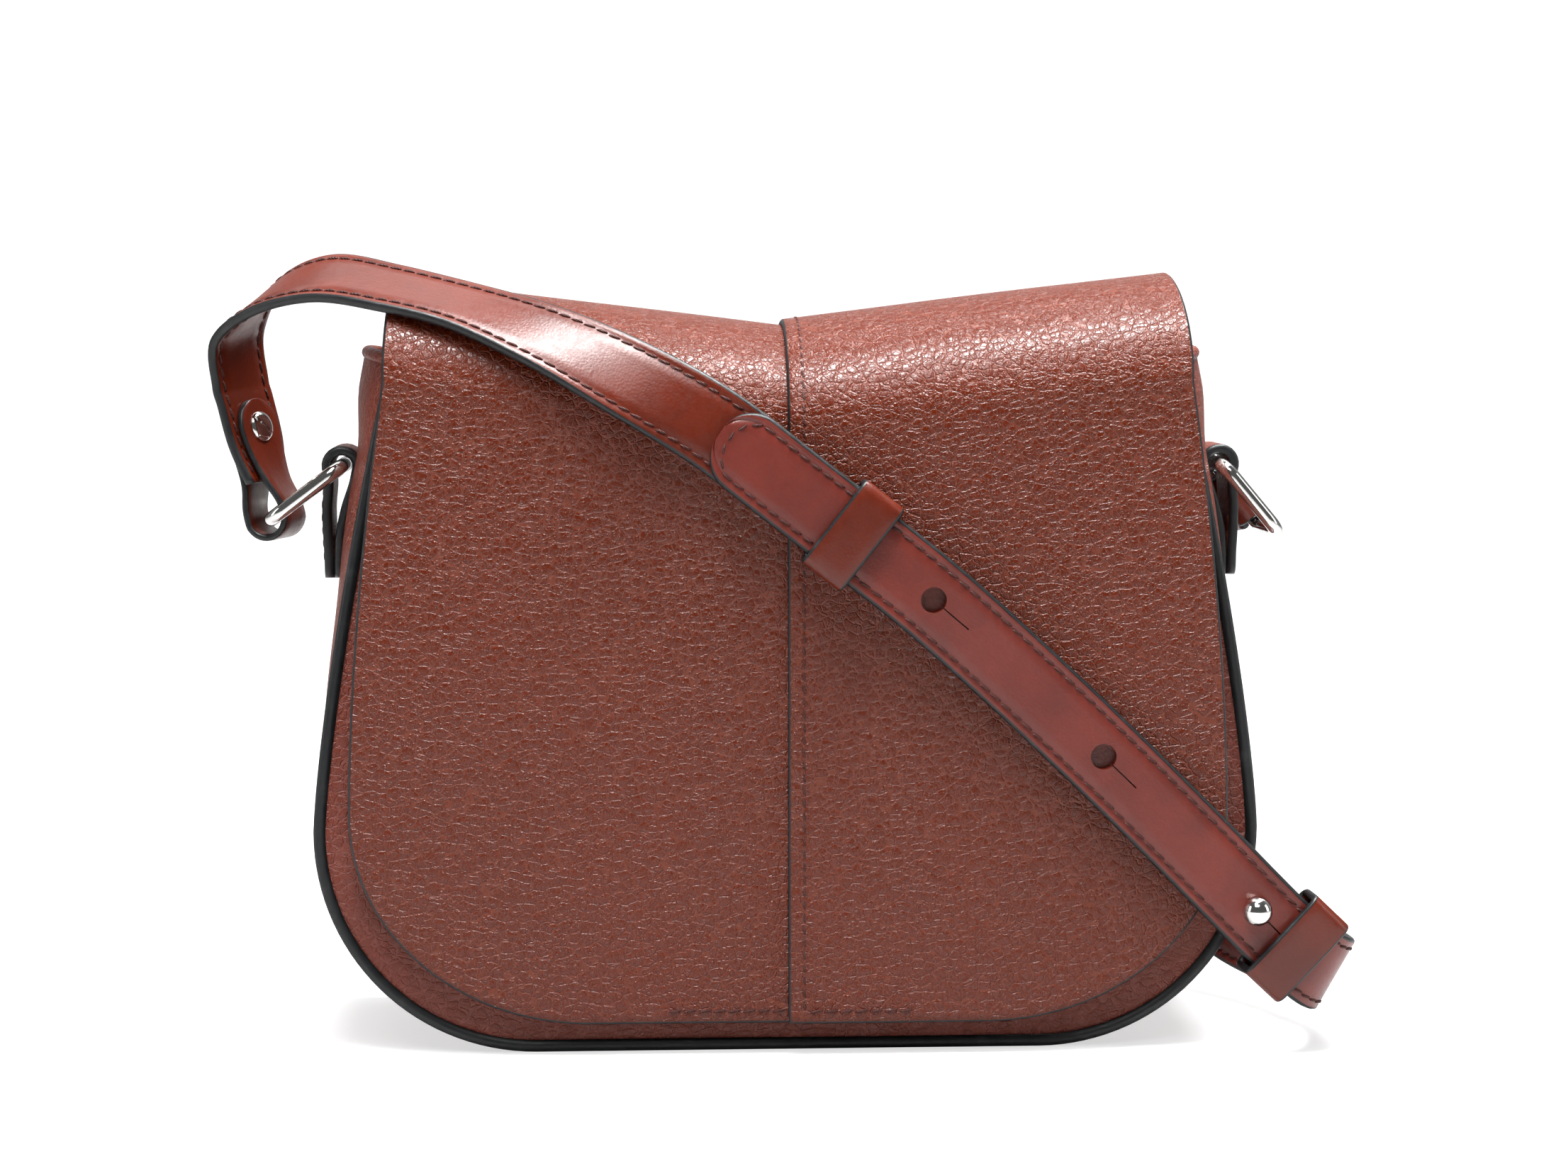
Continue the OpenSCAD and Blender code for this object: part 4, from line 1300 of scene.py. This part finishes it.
def adjuster_strap():
    """The outer strap end with its round tip, its two spare holes and the one on the stud."""
    mesh, seam = Mesh(), Mesh()
    end = ARCH.length - 0.8
    stations, halves = tipped(TIP_S, end, HALF_W, TIP_R, step=1.3)
    band(mesh, ARCH, stations, halves, STRAP_T, (STITCH_IN,), out=ADJUSTER_OFF)
    face = ADJUSTER_OFF + STRAP_T / 2
    bend = TIP_S + TIP_R
    reach = HALF_W - STITCH_IN
    turn = np.radians(np.linspace(-90, 90, 25))
    loop = [(end - 3, -reach)] + [(s, -reach) for s in np.linspace(end - 4, bend, 60)]
    loop += [(bend - (TIP_R - STITCH_IN) * math.cos(a), reach * math.sin(a)) for a in turn]
    loop += [(s, reach) for s in np.linspace(bend, end - 3, 60)]
    band_stitches(seam, ARCH, loop, STITCH_PITCH, face)
    piece = mesh.build("adjuster_strap", [SPAN_LEATHER, EDGE])
    for s, radius in HOLES:
        punch(piece, s, radius)
    finished(piece, "strap_span", "strap_leather", "adjuster_span")
    finished(seam.build("adjuster_stitches", [THREAD]), "strap_span", "strap_leather")


def adjuster_tail():
    """From inside the fixed keeper round the bag's right side and up behind it to the ring."""
    mesh, seam = Mesh(), Mesh()
    begin = key_s(TAIL_PATH, 1) - 7.5
    finish = TAIL_PATH.length
    stations, halves = tipped(begin, finish, HALF_W, step=1.4)
    outs = [ADJUSTER_OFF * (1 - float(smooth(finish - 30, finish - 6, s))) for s in stations]
    band(mesh, TAIL_PATH, stations, halves, STRAP_T, (STITCH_IN,), outs)
    for side in (-1, 1):
        for sign in (-1, 1):
            rows = [TAIL_PATH.at(s, side * (HALF_W - STITCH_IN), o + sign * STRAP_T / 2)
                    for s, o in zip(stations[4:-4], outs[4:-4])]
            stitch_line(seam, [(p, n * sign) for p, _, _, n in rows], STITCH_PITCH)
    depth = TAB_LEN + 1 - 9
    insert = Path([RIGHT_MOUTH - (0.5 + depth * f) * RIGHT_D for f in np.linspace(0, 1, 12)],
                  RIGHT_U)
    band(mesh, insert, *tipped(0, insert.length, HALF_W, step=1.5), STRAP_T)
    piece = mesh.build("adjuster_tail_strap", [SPAN_LEATHER, EDGE])
    stitches = seam.build("adjuster_tail_stitches", [THREAD])
    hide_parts("adjuster_tail", "adjuster_end")
    bend_strap((piece, stitches))


KEEPER_L = 12.5
KEEPER_WALL = 1.9
KEEPER_CORNER = 1.5


def keeper(name, s, play, body, node):
    """Closed leather band round both straps, its painted ends towards the strap."""
    p, t, w, n = ARCH.at(s)
    half = HALF_W + play + KEEPER_WALL / 2
    bottom = -STRAP_T / 2 - play - KEEPER_WALL / 2
    top = ADJUSTER_OFF + STRAP_T / 2 + play + KEEPER_WALL / 2
    flat = rounded_box(-half, half, bottom, top, KEEPER_CORNER, 7)
    dense = []
    for a, b in zip(flat, flat[1:] + flat[:1]):
        steps = max(1, int(math.dist(a, b) / 2.4))
        dense += [(a[0] + (b[0] - a[0]) * k / steps, a[1] + (b[1] - a[1]) * k / steps)
                  for k in range(steps)]
    points = []
    for x, y in dense:
        crown = 0.35 * (1 - (x / half) ** 2) if y > top - 0.01 else 0.0
        points.append(p + w * x + n * (y + crown))
    path = Path(points, t, closed=True)
    mesh = Mesh()
    profile, marks = band_profile(KEEPER_L / 2, KEEPER_WALL, ())
    skin(mesh, [[q + b * x + m * y for x, y in profile]
                for q, b, m in zip(path.p, path.w, path.n)], marks, closed=True)
    finished(mesh.build(name, [STRAP_LEATHER, EDGE]), body, "strap_leather", node)


def stud():
    """Ball stud with a waist and a foot collar, screwed through the long strap."""
    p, _, _, n = ARCH.at(STUD_S)
    neck = ADJUSTER_OFF + STRAP_T / 2 + 0.2
    r = 3.8
    centre = neck + r - 0.6
    ball = [(r * math.sin(a), centre - r * math.cos(a))
            for a in np.radians(np.linspace(32, 179.5, 30))]
    foot = [(0.01, -STRAP_T / 2), (2.0, -STRAP_T / 2), (2.0, neck - 0.9), (2.1, neck - 0.3)]
    mesh = Mesh()
    lathe(mesh, foot + ball, p, n, 56)
    finished(mesh.build("stud_ball", [NICKEL]), "strap_span", "nickel", "adjuster_stud")


# ---- nodes kept from the CAD
CAD_LOOKS = {
    "front_stiffener": BOARD, "rear_stiffener": BOARD, "base_board": BOARD,
    "flap_stiffener": BOARD, "slip_pocket": CLOTH, "front_magnet": SNAP,
    "front_magnet_washer": SNAP, "flap_magnet": SNAP, "flap_magnet_washer": SNAP,
    "stud_screw": NICKEL,
}


def dress_cad_nodes():
    for node, look in CAD_LOOKS.items():
        data = frame["nodes"][node].data
        data.materials.clear()
        data.materials.append(look)


# ---- floor, light and camera
PAPER_GLOW = 0.62


def paper(name):
    """Matt white paper that the camera sees brighter than the bag does, so it throws little light
    back up at the leather."""
    n = Nodes(name)
    tone = n.cloud(400, 2.0)
    colour = n.mix(tone, linear(184, 184, 184), linear(190, 190, 190))
    n.finish(colour, 0.8, Specular_IOR_Level=0.1)
    n.shader.inputs["Emission Color"].default_value = (1, 1, 1, 1)
    seen = n.add("ShaderNodeLightPath").outputs["Is Camera Ray"]
    n.join(n.times(seen, PAPER_GLOW), n.shader.inputs["Emission Strength"])
    return n.material


def pale_floor():
    data = bpy.data.meshes.new("floor")
    size, rise, back = 6.0, 3.0, 2.6
    rows = [(-size, -4.0, 0.0), (size, -4.0, 0.0)]
    rows += [(x, back - 1 + math.sin(a), 1 - math.cos(a)) for a in
             np.radians(np.linspace(0, 90, 13)) for x in (-size, size)]
    rows += [(-size, back, rise), (size, back, rise)]
    faces = [(2 * k, 2 * k + 1, 2 * k + 3, 2 * k + 2) for k in range(len(rows) // 2 - 1)]
    data.from_pydata(rows, [], faces)
    data.polygons.foreach_set("use_smooth", [True] * len(faces))
    data.materials.append(paper("paper_floor"))
    placed("floor", data)


def soft_box(name, place, aim, size, watts, tall=None):
    lamp = bpy.data.lights.new(name, "AREA")
    lamp.shape = "RECTANGLE"
    lamp.size = size
    lamp.size_y = tall or size
    lamp.energy = watts
    light = placed(name, lamp)
    light.location = place
    light.rotation_euler = (Vector(aim) - Vector(place)).to_track_quat("-Z", "Y").to_euler()


def lighting():
    """A bright top box and a pale backdrop, with the room in front of the bag kept dim."""
    world = bpy.data.worlds.new("studio")
    world.use_nodes = True
    tree = world.node_tree
    background = tree.nodes["Background"]
    place = tree.nodes.new("ShaderNodeTexCoord").outputs["Generated"]
    split = tree.nodes.new("ShaderNodeSeparateXYZ")
    tree.links.new(place, split.inputs[0])
    ramp = tree.nodes.new("ShaderNodeMapRange")
    ramp.interpolation_type = "SMOOTHSTEP"
    for socket, item in zip(ramp.inputs, (split.outputs["Y"], -0.1, 0.8, 0.1, 0.7)):
        join(tree, item, socket)
    tree.links.new(ramp.outputs[0], background.inputs["Strength"])
    background.inputs["Color"].default_value = (1, 1, 1, 1)
    bpy.context.scene.world = world
    middle = (0, 0, 0.1)
    soft_box("top_box", (0.12, -0.14, 1.1), (0, -0.02, 0.16), 1.1, 36, 0.22)
    soft_box("left_box", (-1.25, -0.35, 0.5), middle, 0.4, 3, 0.9)
    soft_box("right_box", (1.25, -0.35, 0.5), middle, 0.4, 3, 0.9)
    soft_box("front_fill", (-0.3, -1.5, 1.9), middle, 1.2, 13.5, 0.6)
    soft_box("backdrop_box", (0, 1.0, 1.9), (0, 2.2, 0.6), 3.0, 40, 0.6)


AZIMUTH = math.radians(-3)
ELEVATION = math.radians(5)
DISTANCE = 0.85
AIM = Vector((0.0005, 0, 0.1148))
IMAGE_WIDTH = 2212
FOCAL_PIXELS = 4572


def camera():
    data = bpy.data.cameras.new("camera")
    data.sensor_width = 36
    data.lens = 36 * FOCAL_PIXELS / IMAGE_WIDTH
    data.clip_start = 0.05
    data.clip_end = 30
    eye = placed("camera", data)
    back = Vector((math.sin(AZIMUTH) * math.cos(ELEVATION),
                   -math.cos(AZIMUTH) * math.cos(ELEVATION), math.sin(ELEVATION)))
    eye.location = AIM + back * DISTANCE
    eye.rotation_mode = "QUATERNION"
    eye.rotation_quaternion = (-back).to_track_quat("-Z", "Y")
    bpy.context.scene.camera = eye


# ---- the bag
def build_bag():
    flap_leathers()
    seam_stitches()
    hem_stitches()
    body_panel("front_leather", -1, "front_panel")
    body_panel("rear_leather", 1, "rear_panel")
    gusset_shell()
    welt("front_welt", -1, "front_edge_welt")
    welt("rear_welt", 1, "rear_edge_welt")
    bag_lining()
    chape("left_chape_leather", LEFT_LOOP, -1, "left_chape")
    chape("right_chape_leather", RIGHT_LOOP, 1, "right_chape")
    ring("left_ring_wire", LEFT_LOOP, LEFT_BAR - LEFT_LOOP, "left_ring")
    ring("right_ring_wire", RIGHT_LOOP, RIGHT_U, "right_ring")
    strap_ends()
    long_strap()
    adjuster_strap()
    adjuster_tail()
    keeper("fixed_keeper_leather", FIXED_S, 0.9, "strap_span", "fixed_keeper")
    keeper("sliding_keeper_leather", KEEPER_S, 0.6, "keeper", "sliding_keeper")
    stud()
    dress_cad_nodes()


build_bag()
pale_floor()
lighting()
camera()
bpy.context.scene.view_settings.view_transform = "Standard"
